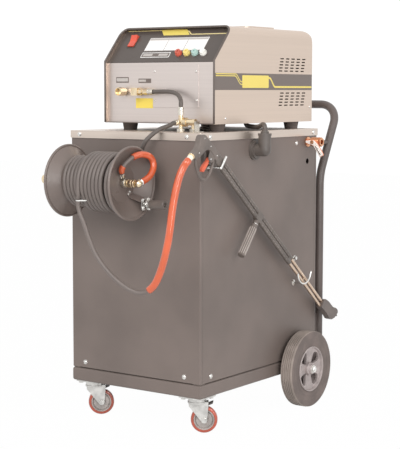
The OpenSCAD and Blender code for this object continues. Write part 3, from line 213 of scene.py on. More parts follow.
class Shop:
    """One material while it is built."""

    def __init__(self, name: str) -> None:
        """Starts a node material of that name.

        Args:
            name: the material's name.
        """
        self.material = bpy.data.materials.new(name)
        self.material.use_nodes = True
        self.nodes = self.material.node_tree.nodes
        self.links = self.material.node_tree.links
        self.nodes.clear()

    def add(self, kind: str, out: int | str = 0, settings: dict | None = None,
            sockets: dict | None = None) -> Field:
        """Adds one node.

        Args:
            kind: the node's type.
            out: index or name of the output that is wanted.
            settings: properties set first.
            sockets: values or fields, by index or name.

        Returns:
            The chosen output.
        """
        node = self.nodes.new(kind)
        for key, value in (settings or {}).items():
            setattr(node, key, value)
        for key, value in (sockets or {}).items():
            socket = node.inputs[key]
            if isinstance(value, Field):
                self.links.new(value.socket, socket)
            elif socket.type == "RGBA" and len(value) == 3:
                socket.default_value = (*value, 1.0)
            else:
                socket.default_value = value
        return Field(self, node.outputs[out])

    def math(self, operation: str, *values: object) -> Field:
        """Math node on fields and numbers."""
        return self.add("ShaderNodeMath", 0, {"operation": operation}, dict(enumerate(values)))

    def place(self) -> Field:
        """Object coordinates, in metres."""
        return self.add("ShaderNodeTexCoord", "Object")

    def stretched(self, *factors: float) -> Field:
        """Object coordinates times a factor on each axis."""
        return self.add("ShaderNodeVectorMath", 0, {"operation": "MULTIPLY"}, {0: self.place(), 1: factors})

    def facing(self, axis: str) -> Field:
        """How far the surface faces along X, Y or Z, without sign."""
        return abs(self.add("ShaderNodeSeparateXYZ", axis, None,
                            {0: self.add("ShaderNodeTexCoord", "Normal")}))

    def noise(self, scale: float, detail: float = 2.0, at: Field | None = None) -> Field:
        """Noise from 0 to 1, of so many lumps per metre and octaves, on Object coordinates or those given."""
        return self.add("ShaderNodeTexNoise", 0, None, {
            "Vector": at or self.place(), "Scale": scale, "Detail": detail})

    def mix(self, share: Field | float, low: object, high: object) -> Field:
        """Colour between two, by share."""
        return self.add("ShaderNodeMix", 2, {"data_type": "RGBA"}, {0: share, 6: low, 7: high})

    def surface(self, colour: object, roughness: object, height: Field, depth: float, metallic: float = 0.0,
                edge: float = 0.0, coat: float = 0.0, coat_rough: float = 0.1) -> Material:
        """Ends the material in a Principled shader.

        Args:
            colour: base colour or field.
            roughness: number or field.
            height: relief from 0 to 1.
            depth: height of the relief in metres.
            metallic: share of metal.
            edge: radius in metres by which edges look rounded.
            coat, coat_rough: clear coat and its roughness.

        Returns:
            The material.
        """
        bump = {"Height": height, "Distance": depth, "Strength": 1.0}
        if edge:
            bump["Normal"] = self.add("ShaderNodeBevel", 0, {"samples": 4}, {"Radius": edge})
        self.add_output(self.add("ShaderNodeBsdfPrincipled", 0, None, {
            "Base Color": colour, "Roughness": roughness, "Metallic": metallic, "Coat Weight": coat,
            "Coat Roughness": coat_rough, "Normal": self.add("ShaderNodeBump", 0, None, bump)}))
        return self.material

    def add_output(self, shader: Field) -> None:
        """Links the shader to the material's output."""
        self.links.new(shader.socket, self.nodes.new("ShaderNodeOutputMaterial").inputs["Surface"])


# ---------------------------------------------------------------- finishes
class Finish:
    """A finish that makes its own material, once for each name."""

    made: dict[str, Material] = {}

    def material(self, name: str) -> Material:
        """The finish's material under that name, built at first use.

        Args:
            name: the material's name.

        Returns:
            The material.
        """
        if name not in Finish.made:
            Finish.made[name] = self.build(Shop(name))
        return Finish.made[name]

    def build(self, shop: Shop) -> Material:
        """Builds the material."""
        raise NotImplementedError


@dataclass(frozen=True)
class PowderCoat(Finish):
    """Baked powder on sheet steel: fine orange peel, faint dust and pale specks."""

    colour: Colour
    roughness: float = 0.46
    cloud: float = 0.12
    peel: float = 1100.0

    def build(self, shop: Shop) -> Material:
        """Builds the powder coat.

        Args:
            shop: the material while it is built.

        Returns:
            The material.
        """
        peel, grit = shop.noise(self.peel, 3.0), shop.noise(self.peel * 2.3, 1.0)
        base = shop.mix(shop.noise(3.1, 3.0).between(0.3, 0.72), shade(self.colour, 1 - self.cloud),
                        shade(self.colour, 1 + self.cloud))
        base = shop.mix(grit.between(0.62, 0.8) * 0.22, base, shade(self.colour, 1.7))
        rough = shop.noise(14.0) * 0.12 + (self.roughness - 0.06)
        return shop.surface(base, rough, peel + grit * 0.4, 0.00012, edge=0.0012)


@dataclass(frozen=True)
class BrushedSteel(Finish):
    """Sheet stainless with the rolling grain along its length."""

    colour: Colour
    soft: float = 1.0
    roughness: float = 0.36
    grain: float = 900.0

    def build(self, shop: Shop) -> Material:
        """Builds the brushed sheet.

        Args:
            shop: the material while it is built.

        Returns:
            The material.
        """
        lay = shop.mix(shop.facing("X").between(0.6, 0.8), shop.stretched(3.0, self.grain, self.grain),
                       shop.stretched(self.grain, 3.0, self.grain))
        hair, wide = shop.noise(1.0, 2.0, lay), shop.noise(0.13, 1.0, lay)
        base = shop.mix((hair * 0.55 + wide * 0.45).between(0.3, 0.7),
                        shade(self.colour, 1 - 0.14 * self.soft),
                        shade(self.colour, 1 + 0.1 * self.soft))
        rough = hair * (0.16 * self.soft) + shop.noise(2.2) * 0.1 + (self.roughness - 0.05 - 0.08 * self.soft)
        return shop.surface(base, rough, hair, 0.00003, 1.0, 0.001)


@dataclass(frozen=True)
class Plated(Finish):
    """Zinc, nickel or chrome on steel: clouded shine with fine handling marks."""

    colour: Colour
    roughness: float = 0.2
    cloud: float = 0.2
    lumps: float = 260.0

    def build(self, shop: Shop) -> Material:
        """Builds the plating.

        Args:
            shop: the material while it is built.

        Returns:
            The material.
        """
        cloud, marks = shop.noise(self.lumps * 0.12, 3.0).between(0.3, 0.7), shop.noise(self.lumps, 3.0)
        base = shop.mix(cloud, shade(self.colour, 1 - self.cloud), self.colour)
        rough = marks * 0.14 + cloud * 0.08 + (self.roughness - 0.08)
        return shop.surface(base, rough, marks, 0.00003, 1.0, 0.0006)


@dataclass(frozen=True)
class Moulded(Finish):
    """Moulded plastic or rubber: fine grain, dull patches where it was handled."""

    colour: Colour
    roughness: float = 0.5
    grain: float = 1400.0
    depth: float = 0.0001
    coat: float = 0.0
    wear: float = 0.16

    def build(self, shop: Shop) -> Material:
        """Builds the moulding's skin.

        Args:
            shop: the material while it is built.

        Returns:
            The material.
        """
        grain, patch = shop.noise(self.grain), shop.noise(16.0, 3.0).between(0.35, 0.7)
        base = shop.mix(patch, shade(self.colour, 1 - self.wear), shade(self.colour, 1 + self.wear))
        rough = patch * 0.1 + grain * 0.08 + (self.roughness - 0.09)
        return shop.surface(base, rough, grain, self.depth, edge=0.0008, coat=self.coat)


@dataclass(frozen=True)
class Cast(Finish):
    """Cast metal: sand texture, stained hollows."""

    colour: Colour
    roughness: float = 0.42
    metallic: float = 1.0

    def build(self, shop: Shop) -> Material:
        """Builds the casting's skin.

        Args:
            shop: the material while it is built.

        Returns:
            The material.
        """
        sand, stain = shop.noise(700.0, 4.0), shop.noise(32.0, 4.0).between(0.35, 0.75)
        return shop.surface(shop.mix(stain, shade(self.colour, 0.72), self.colour),
                            sand * 0.2 + (self.roughness - 0.1), sand, 0.00018, self.metallic, 0.0009)


@dataclass(frozen=True)
class Machined(Finish):
    """Turned brass: tool rings across the part and warm tarnish."""

    colour: Colour
    roughness: float = 0.24
    tarnish: Colour = (0.66, 0.55, 0.45)

    def build(self, shop: Shop) -> Material:
        """Builds the turned metal.

        Args:
            shop: the material while it is built.

        Returns:
            The material.
        """
        rings = shop.noise(1.0, 1.0, shop.stretched(2600.0, 300.0, 300.0))
        stain = shop.noise(60.0, 3.0).between(0.4, 0.75)
        base = shop.mix(stain * 0.6, self.colour, tuple(c * f for c, f in zip(self.colour, self.tarnish)))
        rough = rings * 0.14 + stain * 0.12 + (self.roughness - 0.1)
        return shop.surface(base, rough, rings, 0.00004, 1.0, 0.0006)


@dataclass(frozen=True)
class Jacket(Finish):
    """Hose cover drawn on its own map: wrapped cloth impression or a smooth skin, scuffed here and there."""

    colour: Colour
    roughness: float = 0.5
    pitch: float = 0.0016
    relief: float = 0.0001
    scuff: float = 0.2
    coat: float = 0.0

    def build(self, shop: Shop) -> Material:
        """Builds the cover. U runs round the hose and V along it, in metres.

        Args:
            shop: the material while it is built.

        Returns:
            The material.
        """
        uv = shop.add("ShaderNodeUVMap", 0, {"uv_map": "hose"})
        u, v = (shop.add("ShaderNodeSeparateXYZ", axis, None, {0: uv}) for axis in "XY")
        along, round_it = v * (2 * math.pi / self.pitch), u * (6 * math.pi)
        weave = (along + round_it).sine() * 0.3 + (along - round_it).sine() * 0.2 + 0.5
        rub, cloud = shop.noise(38.0, 4.0).between(0.5, 0.78), shop.noise(9.0)
        base = shop.mix(cloud.between(0.3, 0.7), shade(self.colour, 0.9), shade(self.colour, 1.08))
        base = shop.mix(rub * self.scuff, base, shade(self.colour, 1.25, 0.02))
        rough = rub * 0.16 + cloud * 0.08 + (self.roughness - 0.08)
        return shop.surface(base, rough, weave, self.relief, coat=self.coat, coat_rough=0.12)


@dataclass(frozen=True)
class Film(Finish):
    """Printed film or enamel in one colour, with a soft sheen and tiny flecks."""

    colour: Colour
    roughness: float = 0.34

    def build(self, shop: Shop) -> Material:
        """Builds the film.

        Args:
            shop: the material while it is built.

        Returns:
            The material.
        """
        fleck = shop.noise(420.0).between(0.35, 0.7)
        return shop.surface(shop.mix(fleck * 0.5, self.colour, shade(self.colour, 0.92)),
                            shop.noise(11.0) * 0.12 + (self.roughness - 0.06), fleck, 0.00002)


@dataclass(frozen=True)
class Polyethylene(Finish):
    """Blown tank skin: milky, with slow ripples."""

    colour: Colour

    def build(self, shop: Shop) -> Material:
        """Builds the tank's skin.

        Args:
            shop: the material while it is built.

        Returns:
            The material.
        """
        ripple = shop.noise(26.0, 3.0)
        return shop.surface(shop.mix(ripple.between(0.3, 0.7), shade(self.colour, 0.88), self.colour),
                            ripple * 0.2 + 0.34, ripple, 0.0006, edge=0.002)


FINISHES: dict[str, Finish] = {
    "cabinet_paint": PowderCoat(tone(114, 102, 96)),
    "stainless_lid": BrushedSteel(tone(214, 201, 190), 0.5),
    "stainless_hood": BrushedSteel(tone(217, 200, 186), 0.24, 0.42),
    "dark_paint": PowderCoat(tone(118, 106, 100), 0.3, 0.08),
    "handle_paint": PowderCoat(tone(98, 88, 84), 0.36),
    "bright_screws": Plated(tone(232, 230, 226), 0.16),
    "tank_poly": Polyethylene(tone(220, 222, 216)),
    "float_plastic": Moulded(tone(230, 227, 220)),
    "axle_steel": Plated(tone(196, 194, 190), 0.3),
    "hub_plastic": Cast(tone(190, 178, 175), 0.5, 0.2),
    "tyre_rubber": Moulded(tone(116, 104, 99), 0.7, 900.0, 0.0002),
    "zinc": Plated(tone(222, 220, 216), 0.3, 0.3),
    "red_tread": Moulded(tone(178, 82, 62), 0.3, 900.0, 0.00005, 0.3),
    "pedal_paint": PowderCoat(tone(70, 64, 61)),
    "rubber_feet": Moulded(tone(104, 94, 89), 0.7),
    "motor_alloy": Cast(tone(188, 188, 188)),
    "pump_brass": Cast(tone(205, 180, 120)),
    "switch_red": Moulded(tone(220, 84, 60), 0.28, 1400.0, 0.00003, 0.3),
    "cap_red": Moulded(tone(214, 100, 80), 0.36),
    "cap_yellow": Moulded(tone(236, 212, 128), 0.36),
    "cap_green": Moulded(tone(176, 204, 196), 0.36),
    "cap_white": Moulded(tone(240, 237, 230), 0.36),
    "brass": Machined(tone(234, 216, 184)),
    "black_hose": Jacket(tone(92, 84, 79), 0.44, 0.002, 0.00012),
    "ferrule_steel": Plated(tone(222, 216, 205), 0.22),
    "black_poly": Moulded(tone(92, 84, 79), 0.4, 600.0),
    "chrome": Plated(tone(236, 234, 230), 0.14),
    "grey_hose": Jacket(tone(112, 102, 97), 0.46, 0.0022, 0.00012),
    "orange_guard": Jacket(tone(203, 88, 46), 0.2, 0.006, 0.00002, 0.12, 0.8),
    "knob_black": Moulded(tone(108, 98, 92), 0.44, 900.0, 0.00015),
    "tie_white": Moulded(tone(240, 238, 234), 0.4),
    "connector_cream": Moulded(tone(232, 224, 205), 0.44),
    "trigger_orange": Moulded(tone(226, 98, 62), 0.34, 1400.0, 0.00003, 0.2),
}
NODE_FINISHES: dict[str, Finish] = {
    "head_front": BrushedSteel(tone(212, 202, 197), 0.25, 0.46),
    "control_panel": PowderCoat(tone(84, 75, 70), 0.36, 0.06),
    "lance_sleeves": Moulded(tone(104, 95, 89), 0.4, 700.0),
    "valve_body": Machined(tone(230, 172, 134), 0.34),
    "lance_tubes": Plated(tone(226, 203, 182), 0.26),
    "nozzle_holder": Moulded(tone(108, 98, 93), 0.46, 700.0),
}
EXTRAS: dict[str, Finish] = {
    "badge_yellow": Film(tone(236, 214, 110)),
    "band_dark": Film(tone(112, 101, 95)),
    "sheet_white": Film(tone(247, 244, 241)),
    "print_grey": Film(tone(190, 183, 178)),
    "line_cream": Film(tone(244, 224, 160)),
    "sticker_yellow": Film(tone(240, 215, 95)),
    "edge_dark": PowderCoat(tone(96, 86, 80)),
    # Lighter copy of the tyre rubber: painted light on the tread, which faces the lamps while the sidewalls
    # turn away.
    "tread_rubber": Moulded(tone(150, 138, 130), 0.7, 900.0, 0.0002),
    "core_alloy": Cast(tone(186, 178, 173), 0.5, 0.5),
    "lever_silver": PowderCoat(tone(240, 230, 222)),
    "lever_plate": Moulded(tone(226, 148, 118), 0.4),
    "sleeve_mark": Moulded(tone(146, 135, 129), 0.3, 700.0),
    # Lighter than the grip: painted highlights along the side handle's ribs; the clear coat adds real gloss.
    "grip_rib": Moulded(tone(172, 161, 154), 0.24, 700.0, coat=0.5),
}


def finish(name: str) -> Material:
    """The material of a record slot, or of one of the extra finishes."""
    return (FINISHES.get(name) or EXTRAS[name]).material(name)


# ---------------------------------------------------------------- mesh work
def as_object(work: Work, name: str) -> Piece:
    """Object of a worked mesh, which is freed; it isn't in the scene yet.

    Args:
        work: the worked mesh.
        name: name of the object and of its mesh.

    Returns:
        The object.
    """
    data = bpy.data.meshes.new(name)
    work.to_mesh(data)
    work.free()
    return bpy.data.objects.new(name, data)


def joined(mesh: Work, work: Work) -> Work:
    """Adds a worked mesh, which is freed, to another.

    Args:
        mesh: the mesh that grows.
        work: the mesh that is added.

    Returns:
        The mesh that grew.
    """
    data = bpy.data.meshes.new("part")
    work.to_mesh(data)
    work.free()
    mesh.from_mesh(data)
    bpy.data.meshes.remove(data)
    return mesh


def settle(mesh: Work, name: str, slot: str, body: str, smooth: float = 35.0, look: str = "",
           outward: bool = True) -> Piece:
    """Turns a worked mesh into a piece that rides on a body.

    Args:
        mesh: the worked mesh, in metres; it is freed.
        name: the piece's name.
        slot: the record's material slot.
        body: the body that it rides on.
        smooth: angle in degrees below which edges shade smoothly.
        look: a finish other than the slot's.
        outward: whether normals are turned outwards.

    Returns:
        The piece.
    """
    if outward:
        bmesh.ops.recalc_face_normals(mesh, faces=mesh.faces)
    for face in mesh.faces:
        face.smooth = True
    for edge in mesh.edges:
        edge.smooth = len(edge.link_faces) == 2 and edge.calc_face_angle(0.0) < math.radians(smooth)
    piece = as_object(mesh, name)
    bpy.context.scene.collection.objects.link(piece)
    piece.data.materials.append(finish(look or slot))
    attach(piece, body)
    log.info("%s on %s: %d faces", name, body, len(piece.data.polygons))
    return piece


def stand_in(mesh: Work, name: str, node: str, smooth: float = 35.0, look: str = "", outward: bool = True,
             slot: str = "") -> Piece:
    """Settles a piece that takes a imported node's place and rides on its body.

    Args:
        mesh, name, smooth, look, outward: as settle takes them.
        node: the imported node.
        slot: the record's material slot, if it isn't the node's.

    Returns:
        The piece.
    """
    piece = settle(mesh, name, slot or SLOT_OF[node], BODY_OF[node], smooth, look, outward)
    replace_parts(piece, node)
    return piece


def smooth_route(points: Sequence[Point], steps: int) -> list[Vector]:
    """Curve through chosen points, straight in its first and last stretch.

    Args:
        points: the chosen points.
        steps: parts that each stretch is cut into.

    Returns:
        The points of the curve.
    """
    p = [Vector(q) for q in points]
    last = len(p) - 1
    out: list[Vector] = []
    for i in range(last):
        a, b, c, d = p[max(i - 1, 0)], p[i], p[i + 1], p[min(i + 2, last)]
        for t in (j / steps for j in range(steps)):
            if i in (0, last - 1):
                out.append(b + (c - b) * t)
            else:
                out.append((2 * b + (c - a) * t + (2 * a - 5 * b + 4 * c - d) * t * t
                            + (3 * b - a - 3 * c + d) * t ** 3) / 2)
    return out + [p[-1]]


def length_of(path: Sequence[Vector]) -> float:
    """Length of a line of points."""
    return sum((b - a).length for a, b in zip(path, path[1:]))


def across_from(along: Vector) -> Vector:
    """A direction square to the given one."""
    return along.cross(Z_AXIS if abs(along.z) < 0.8 else X_AXIS).normalized()


def circle(mesh: Work, centre: Vector, r: float, side: Vector, other: Vector, sides: int) -> list:
    """Vertices of a circle of radius r metres in the plane of two directions."""
    return [mesh.verts.new(centre + r * (math.cos(a) * side + math.sin(a) * other))
            for a in (2 * math.pi * k / sides for k in range(sides))]


def tube_mesh(path: Sequence[Vector], radius: Radius, sides: int = 20, bore: float = 0.0) -> Work:
    """Tube along a path, with a map round it and along it.

    Args:
        path: centreline in metres.
        radius: radius in millimetres, or a function of the metres along.
        sides: corners of the section.
        bore: radius of the hole in millimetres, for a sleeve, or 0.

    Returns:
        The worked mesh.
    """
    mesh = bmesh.new()
    uv = mesh.loops.layers.uv.new("hose")
    tangents = [(path[min(i + 1, len(path) - 1)] - path[max(i - 1, 0)]).normalized()
                for i in range(len(path))]

    def wall(size: Callable[[float], float], inward: bool) -> tuple[list, list]:
        """One skin of the tube.

        Args:
            size: radius in millimetres by metres along.
            inward: whether its faces look inwards.

        Returns:
            Its first and last ring.
        """
        run, side = 0.0, across_from(tangents[0])
        rings, runs = [], []
        for i, (centre, along) in enumerate(zip(path, tangents)):
            if i:
                run += (centre - path[i - 1]).length
            side = (side - side.dot(along) * along).normalized()
            rings.append(circle(mesh, centre, size(run) * MM, side, along.cross(side), sides))
            runs.append(run)
        for i in range(len(rings) - 1):
            for k in range(sides):
                n = (k + 1) % sides
                corners = [rings[i][k], rings[i][n], rings[i + 1][n], rings[i + 1][k]]
                places = [((k + du) / sides, runs[i + dv]) for du, dv in ((0, 0), (1, 0), (1, 1), (0, 1))]
                step = -1 if inward else 1
                for loop, place in zip(mesh.faces.new(corners[::step]).loops, places[::step]):
                    loop[uv].uv = place
        return rings[0], rings[-1]

    first, last = wall(radius if callable(radius) else (lambda _run: radius), False)
    if bore:
        inner_first, inner_last = wall(lambda _run: bore, True)
        for k in range(sides):
            n = (k + 1) % sides
            mesh.faces.new((first[n], first[k], inner_first[k], inner_first[n]))
            mesh.faces.new((last[k], last[n], inner_last[n], inner_last[k]))
    else:
        mesh.faces.new(first[::-1])
        mesh.faces.new(last)
    return mesh


def tube(path: Sequence[Vector], radius: Radius, name: str, node: str, sides: int = 20, bore: float = 0.0,
         smooth: float = 60.0, look: str = "", slot: str = "") -> Piece:
    """Tube that takes a node's place; see tube_mesh and stand_in."""
    return stand_in(tube_mesh(path, radius, sides, bore), name, node, smooth, look, False, slot)


def lathe_mesh(profile: Outline, centre: Vector, axis: Vector = X_AXIS, steps: int = 64,
               mesh: Work | None = None) -> Work:
    """Turns a profile round an axis; a profile that starts and ends on the axis closes itself.

    Args:
        profile: (distance along the axis, radius) in millimetres.
        centre: the axis's origin in metres.
        axis: its direction.
        steps: parts of the turn.
        mesh: mesh to add to.

    Returns:
        The worked mesh.
    """
    mesh = mesh or bmesh.new()
    along = axis.normalized()
    side = across_from(along)
    rings = [circle(mesh, centre + x * MM * along, r * MM, side, along.cross(side), steps) if r
             else [mesh.verts.new(centre + x * MM * along)] for x, r in profile]
    closed = len(rings[0]) > 1 and len(rings[-1]) > 1
    for low, high in zip(rings, rings[1:] + ([rings[0]] if closed else [])):
        for k in range(steps):
            n = k + 1
            corners = dict.fromkeys(ring[i % len(ring)]
                                    for ring, i in ((low, k), (low, n), (high, n), (high, k)))
            if len(corners) > 2:
                mesh.faces.new(list(corners))
    return mesh


def turned(profile: Outline, centre: Vector, name: str, node: str, steps: int = 48, axis: Vector = X_AXIS,
           smooth: float = 35.0, look: str = "", slot: str = "") -> Piece:
    """Turned piece that takes a node's place; see lathe_mesh and stand_in."""
    return stand_in(lathe_mesh(profile, centre, axis, steps), name, node, smooth, look, slot=slot)


def mirrored(half: Outline) -> list[tuple[float, float]]:
    """A profile's left half, followed by its mirror image."""
    return list(half) + [(-x, r) for x, r in half[::-1]]


def block(x0: float, y0: float, x1: float, y1: float) -> list[tuple[float, float]]:
    """Outline of a rectangle between two corners."""
    return [(x0, y0), (x1, y0), (x1, y1), (x0, y1)]


def rounded(points: Outline, radius: float, steps: int = 5) -> list[tuple[float, float]]:
    """Outline with its corners rounded.

    Args:
        points: corners in order.
        radius: radius of each corner.
        steps: parts of each arc.

    Returns:
        The rounded outline.
    """
    out, n = [], len(points)
    for i in range(n):
        before, here, after = (Vector(points[j % n]) for j in (i - 1, i, i + 1))
        a, b = before - here, after - here
        reach = min(radius, a.length * 0.45, b.length * 0.45)
        start, end = here + a.normalized() * reach, here + b.normalized() * reach
        for t in (k / steps for k in range(steps + 1)):
            out.append(tuple((1 - t) ** 2 * start + 2 * t * (1 - t) * here + t * t * end))
    return out


def strip(path: Outline, width: float) -> list[tuple[float, float]]:
    """Outline of a stripe of one width along a line.

    Args:
        path: the line.
        width: the stripe's width.

    Returns:
        The outline.
    """
    points = [Vector(p) for p in path]
    left, right = [], []
    for i, here in enumerate(points):
        along = (points[min(i + 1, len(points) - 1)] - points[max(i - 1, 0)]).normalized()
        side = Vector((-along.y, along.x)) * width / 2
        left.append(tuple(here + side))
        right.append(tuple(here - side))
    return left + right[::-1]


def swoosh(start: Point, end: Point, rise: float = 0.8, steps: int = 14) -> list[tuple[float, float]]:
    """S-shaped line between two heights.

    Args:
        start, end: its ends.
        rise: share of its length that the bend takes.
        steps: parts that it is cut into.

    Returns:
        The line.
    """
    line = []
    for t in (i / steps for i in range(steps + 1)):
        bend = min(1.0, max(0.0, (t - 0.5) / rise + 0.5))
        ease = bend * bend * (3 - 2 * bend)
        line.append((start[0] + (end[0] - start[0]) * t, start[1] + (end[1] - start[1]) * ease))
    return line


def prism(mesh: Work, plane: Plane, outlines: Sequence[Outline], heights: Sequence[float]) -> list:
    """Stacks outlines of as many corners at heights over a plane.

    Args:
        mesh: mesh to add to.
        plane: where the stack stands.
        outlines: its outlines from below.
        heights: their heights in millimetres.

    Returns:
        The lower and the upper face.
    """
    rings = [[mesh.verts.new(plane.at(u, v, h)) for u, v in drawn] for drawn, h in zip(outlines, heights)]
    caps = [mesh.faces.new(rings[0][::-1]), mesh.faces.new(rings[-1])]
    n = len(rings[0])
    for a, b in zip(rings, rings[1:]):
        for k in range(n):
            mesh.faces.new((a[k], a[(k + 1) % n], b[(k + 1) % n], b[k]))
    return caps


def split_large(mesh: Work) -> None:
    """Cuts the faces of more than four corners into triangles."""
    bmesh.ops.triangulate(mesh, faces=[f for f in mesh.faces if len(f.verts) > 4])


def soften(mesh: Work, edges: Sequence, radius: float) -> None:
    """Rounds edges by a radius in millimetres."""
    bmesh.ops.bevel(mesh, geom=list(edges), offset=radius * MM, offset_type="OFFSET", segments=3, profile=0.5,
                    affect="EDGES", clamp_overlap=True)


def plate_mesh(plane: Plane, outline: Outline, low: float, high: float, bevel: float = 0.0) -> Work:
    """Thin plate on a plane.

    Args:
        plane: where it stands.
        outline: its corners in the plane, in millimetres.
        low, high: its faces' heights over the plane, in millimetres.
        bevel: width of the bevel round its upper face, in millimetres.

    Returns:
        The worked mesh.
    """
    mesh = bmesh.new()
    area = sum(a[0] * b[1] - b[0] * a[1] for a, b in zip(outline, list(outline[1:]) + [outline[0]]))
    drawn = [list(outline) if area > 0 else list(outline)[::-1]] * 2
    heights = [low, high]
    if bevel:
        middle = sum((Vector(p) for p in outline), Vector((0, 0))) / len(outline)
        inward = [(Vector(p), middle - Vector(p)) for p in drawn[0]]
        drawn.append([tuple(p + way.normalized() * min(bevel, way.length * 0.5)) for p, way in inward])
        heights = [low, high - bevel, high]
    prism(mesh, plane, drawn, heights)
    split_large(mesh)
    return mesh


def moulding(plane: Plane, outline: Outline, low: float, high: float, low_edge: float,
             high_edge: float) -> Work:
    """Block of one outline with rounded rims.

    Args:
        plane: where it stands.
        outline: its corners in the plane, in millimetres.
        low, high: its faces' heights over the plane, in millimetres.
        low_edge, high_edge: radius of the rim of each face, in millimetres.

    Returns:
        The worked mesh.
    """
    work = bmesh.new()
    for cap, radius in zip(prism(work, plane, (outline, outline), (low, high)), (low_edge, high_edge)):
        if radius:
            soften(work, cap.edges, radius)
    split_large(work)
    bmesh.ops.recalc_face_normals(work, faces=work.faces)
    return work


# ---------------------------------------------------------------- Geometry Nodes
class Tree:
    """A Geometry Nodes tree under construction, with named inputs."""

    def __init__(self, name: str, inputs: dict[str, str]) -> None:
        """Makes the tree, its inputs by name and type, and one geometry output.

        Args:
            name: its name.
            inputs: types of its inputs by name.
        """
        self.group = bpy.data.node_groups.new(name, "GeometryNodeTree")
        for label, kind in {"Geometry": "Geometry", **inputs, "Finish": "Material"}.items():
            self.group.interface.new_socket(label, in_out="INPUT", socket_type="NodeSocket" + kind)
        self.group.interface.new_socket("Geometry", in_out="OUTPUT", socket_type="NodeSocketGeometry")
        self.start, self.end = (self.group.nodes.new(f"NodeGroup{end}put") for end in ("In", "Out"))

    def add(self, kind: str, sockets: dict | None = None, settings: dict | None = None,
            out: int | str = 0) -> Socket:
        """Adds one node.

        Args:
            kind: the node's type.
            sockets: values or outputs of other nodes, by index or name.
            settings: properties set first.
            out: index or name of the output that is wanted.

        Returns:
            The chosen output.
        """
        node = self.group.nodes.new(kind)
        for key, value in (settings or {}).items():
            setattr(node, key, value)
        for key, value in (sockets or {}).items():
            if isinstance(value, bpy.types.NodeSocket):
                self.group.links.new(value, node.inputs[key])
            else:
                node.inputs[key].default_value = value
        return node.outputs[out]

    def given(self, label: str) -> Socket:
        """The tree's input of that name."""
        return self.start.outputs[label]

    def close(self, shape: Socket) -> None:
        """Realizes the copies, gives them their finish and ends the tree.

        Args:
            shape: the copies.
        """
        real = self.add("GeometryNodeRealizeInstances", {"Geometry": shape})
        done = self.add("GeometryNodeSetMaterial", {"Geometry": real, "Material": self.given("Finish")})
        self.group.links.new(done, self.end.inputs[0])

    def socket_of(self, label: str) -> str:
        """Identifier of the input of that name."""
        return next(s.identifier for s in self.group.interface.items_tree
                    if s.name == label and s.in_out == "INPUT")


def grow(tree: Tree, carrier: Work, values: dict[str, object], name: str, slot: str, body: str,
         look: str = "") -> Piece:
    """Runs a tree on a carrier mesh and keeps the result as a plain piece.

    Args:
        tree: the tree.
        carrier: the mesh that it starts from; it is freed.
        values: the tree's inputs by name.
        name, slot, body, look: as settle takes them.

    Returns:
        The piece.
    """
    holder = as_object(carrier, name + ".carrier")
    bpy.context.scene.collection.objects.link(holder)
    modifier = holder.modifiers.new("grow", "NODES")
    modifier.node_group = tree.group
    for label, value in {**values, "Finish": finish(look or slot)}.items():
        modifier[tree.socket_of(label)] = value
    graph = bpy.context.evaluated_depsgraph_get()
    result = bpy.data.meshes.new_from_object(holder.evaluated_get(graph), preserve_all_data_layers=True,
                                             depsgraph=graph)
    bpy.data.objects.remove(holder)
    worked = bmesh.new()
    worked.from_mesh(result)
    bpy.data.meshes.remove(result)
    return settle(worked, name, slot, body, 35.0, look, False)


def scatter_tree(lengthwise: bool = False) -> Tree:
    """Tree that stands one shape at each carrier point, facing along its normal.

    Args:
        lengthwise: whether the shape's Y also turns to the "Along" input.

    Returns:
        The tree.
    """
    tree = Tree("stand_on_points", {"Shape": "Object", "Size": "Float", "Turn": "Float", "Along": "Vector"})
    shape = tree.add("GeometryNodeObjectInfo", {"Object": tree.given("Shape"), "As Instance": True}, None,
                     "Geometry")
    facing = tree.add("GeometryNodeInputNamedAttribute", {"Name": "facing"}, {"data_type": "FLOAT_VECTOR"})
    aim = tree.add("FunctionNodeAlignRotationToVector", {"Vector": facing}, {"axis": "Z"})
    if lengthwise:
        turn = tree.add("FunctionNodeAlignRotationToVector", {"Rotation": aim, "Vector": tree.given("Along")},
                        {"axis": "Y", "pivot_axis": "Z"})
    else:
        spin = tree.add("FunctionNodeRandomValue", {2: 0.0, 3: tree.given("Turn"), "Seed": 7},
                        {"data_type": "FLOAT"}, 1)
        local = tree.add("FunctionNodeAxisAngleToRotation", {"Axis": (0, 0, 1), "Angle": spin})
        turn = tree.add("FunctionNodeRotateRotation", {"Rotation": aim, "Rotate By": local},
                        {"rotation_space": "LOCAL"})
    tree.close(tree.add("GeometryNodeInstanceOnPoints", {
        "Points": tree.given("Geometry"), "Instance": shape, "Rotation": turn, "Scale": tree.given("Size")}))
    return tree


def ring_tree() -> Tree:
    """Tree that repeats the carrier round the X axis through a centre.

    Returns:
        The tree.
    """
    tree = Tree("round_the_axle", {"Count": "Int", "Centre": "Vector"})
    points = tree.add("GeometryNodeMeshLine", {"Count": tree.given("Count"), "Offset": (0, 0, 0)})
    index = tree.add("GeometryNodeInputIndex")
    share = tree.add("ShaderNodeMath", {0: index, 1: tree.given("Count")}, {"operation": "DIVIDE"})
    angle = tree.add("ShaderNodeMath", {0: share, 1: 2 * math.pi}, {"operation": "MULTIPLY"})
    turn = tree.add("FunctionNodeAxisAngleToRotation", {"Axis": (1, 0, 0), "Angle": angle})
    away = tree.add("ShaderNodeVectorMath", {0: tree.given("Centre"), "Scale": -1.0}, {"operation": "SCALE"})
    middle = tree.add("GeometryNodeTransform", {"Geometry": tree.given("Geometry"), "Translation": away})
    copies = tree.add("GeometryNodeInstanceOnPoints",
                      {"Points": points, "Instance": middle, "Rotation": turn})
    tree.close(tree.add("GeometryNodeTransform", {"Geometry": copies, "Translation": tree.given("Centre")}))
    return tree


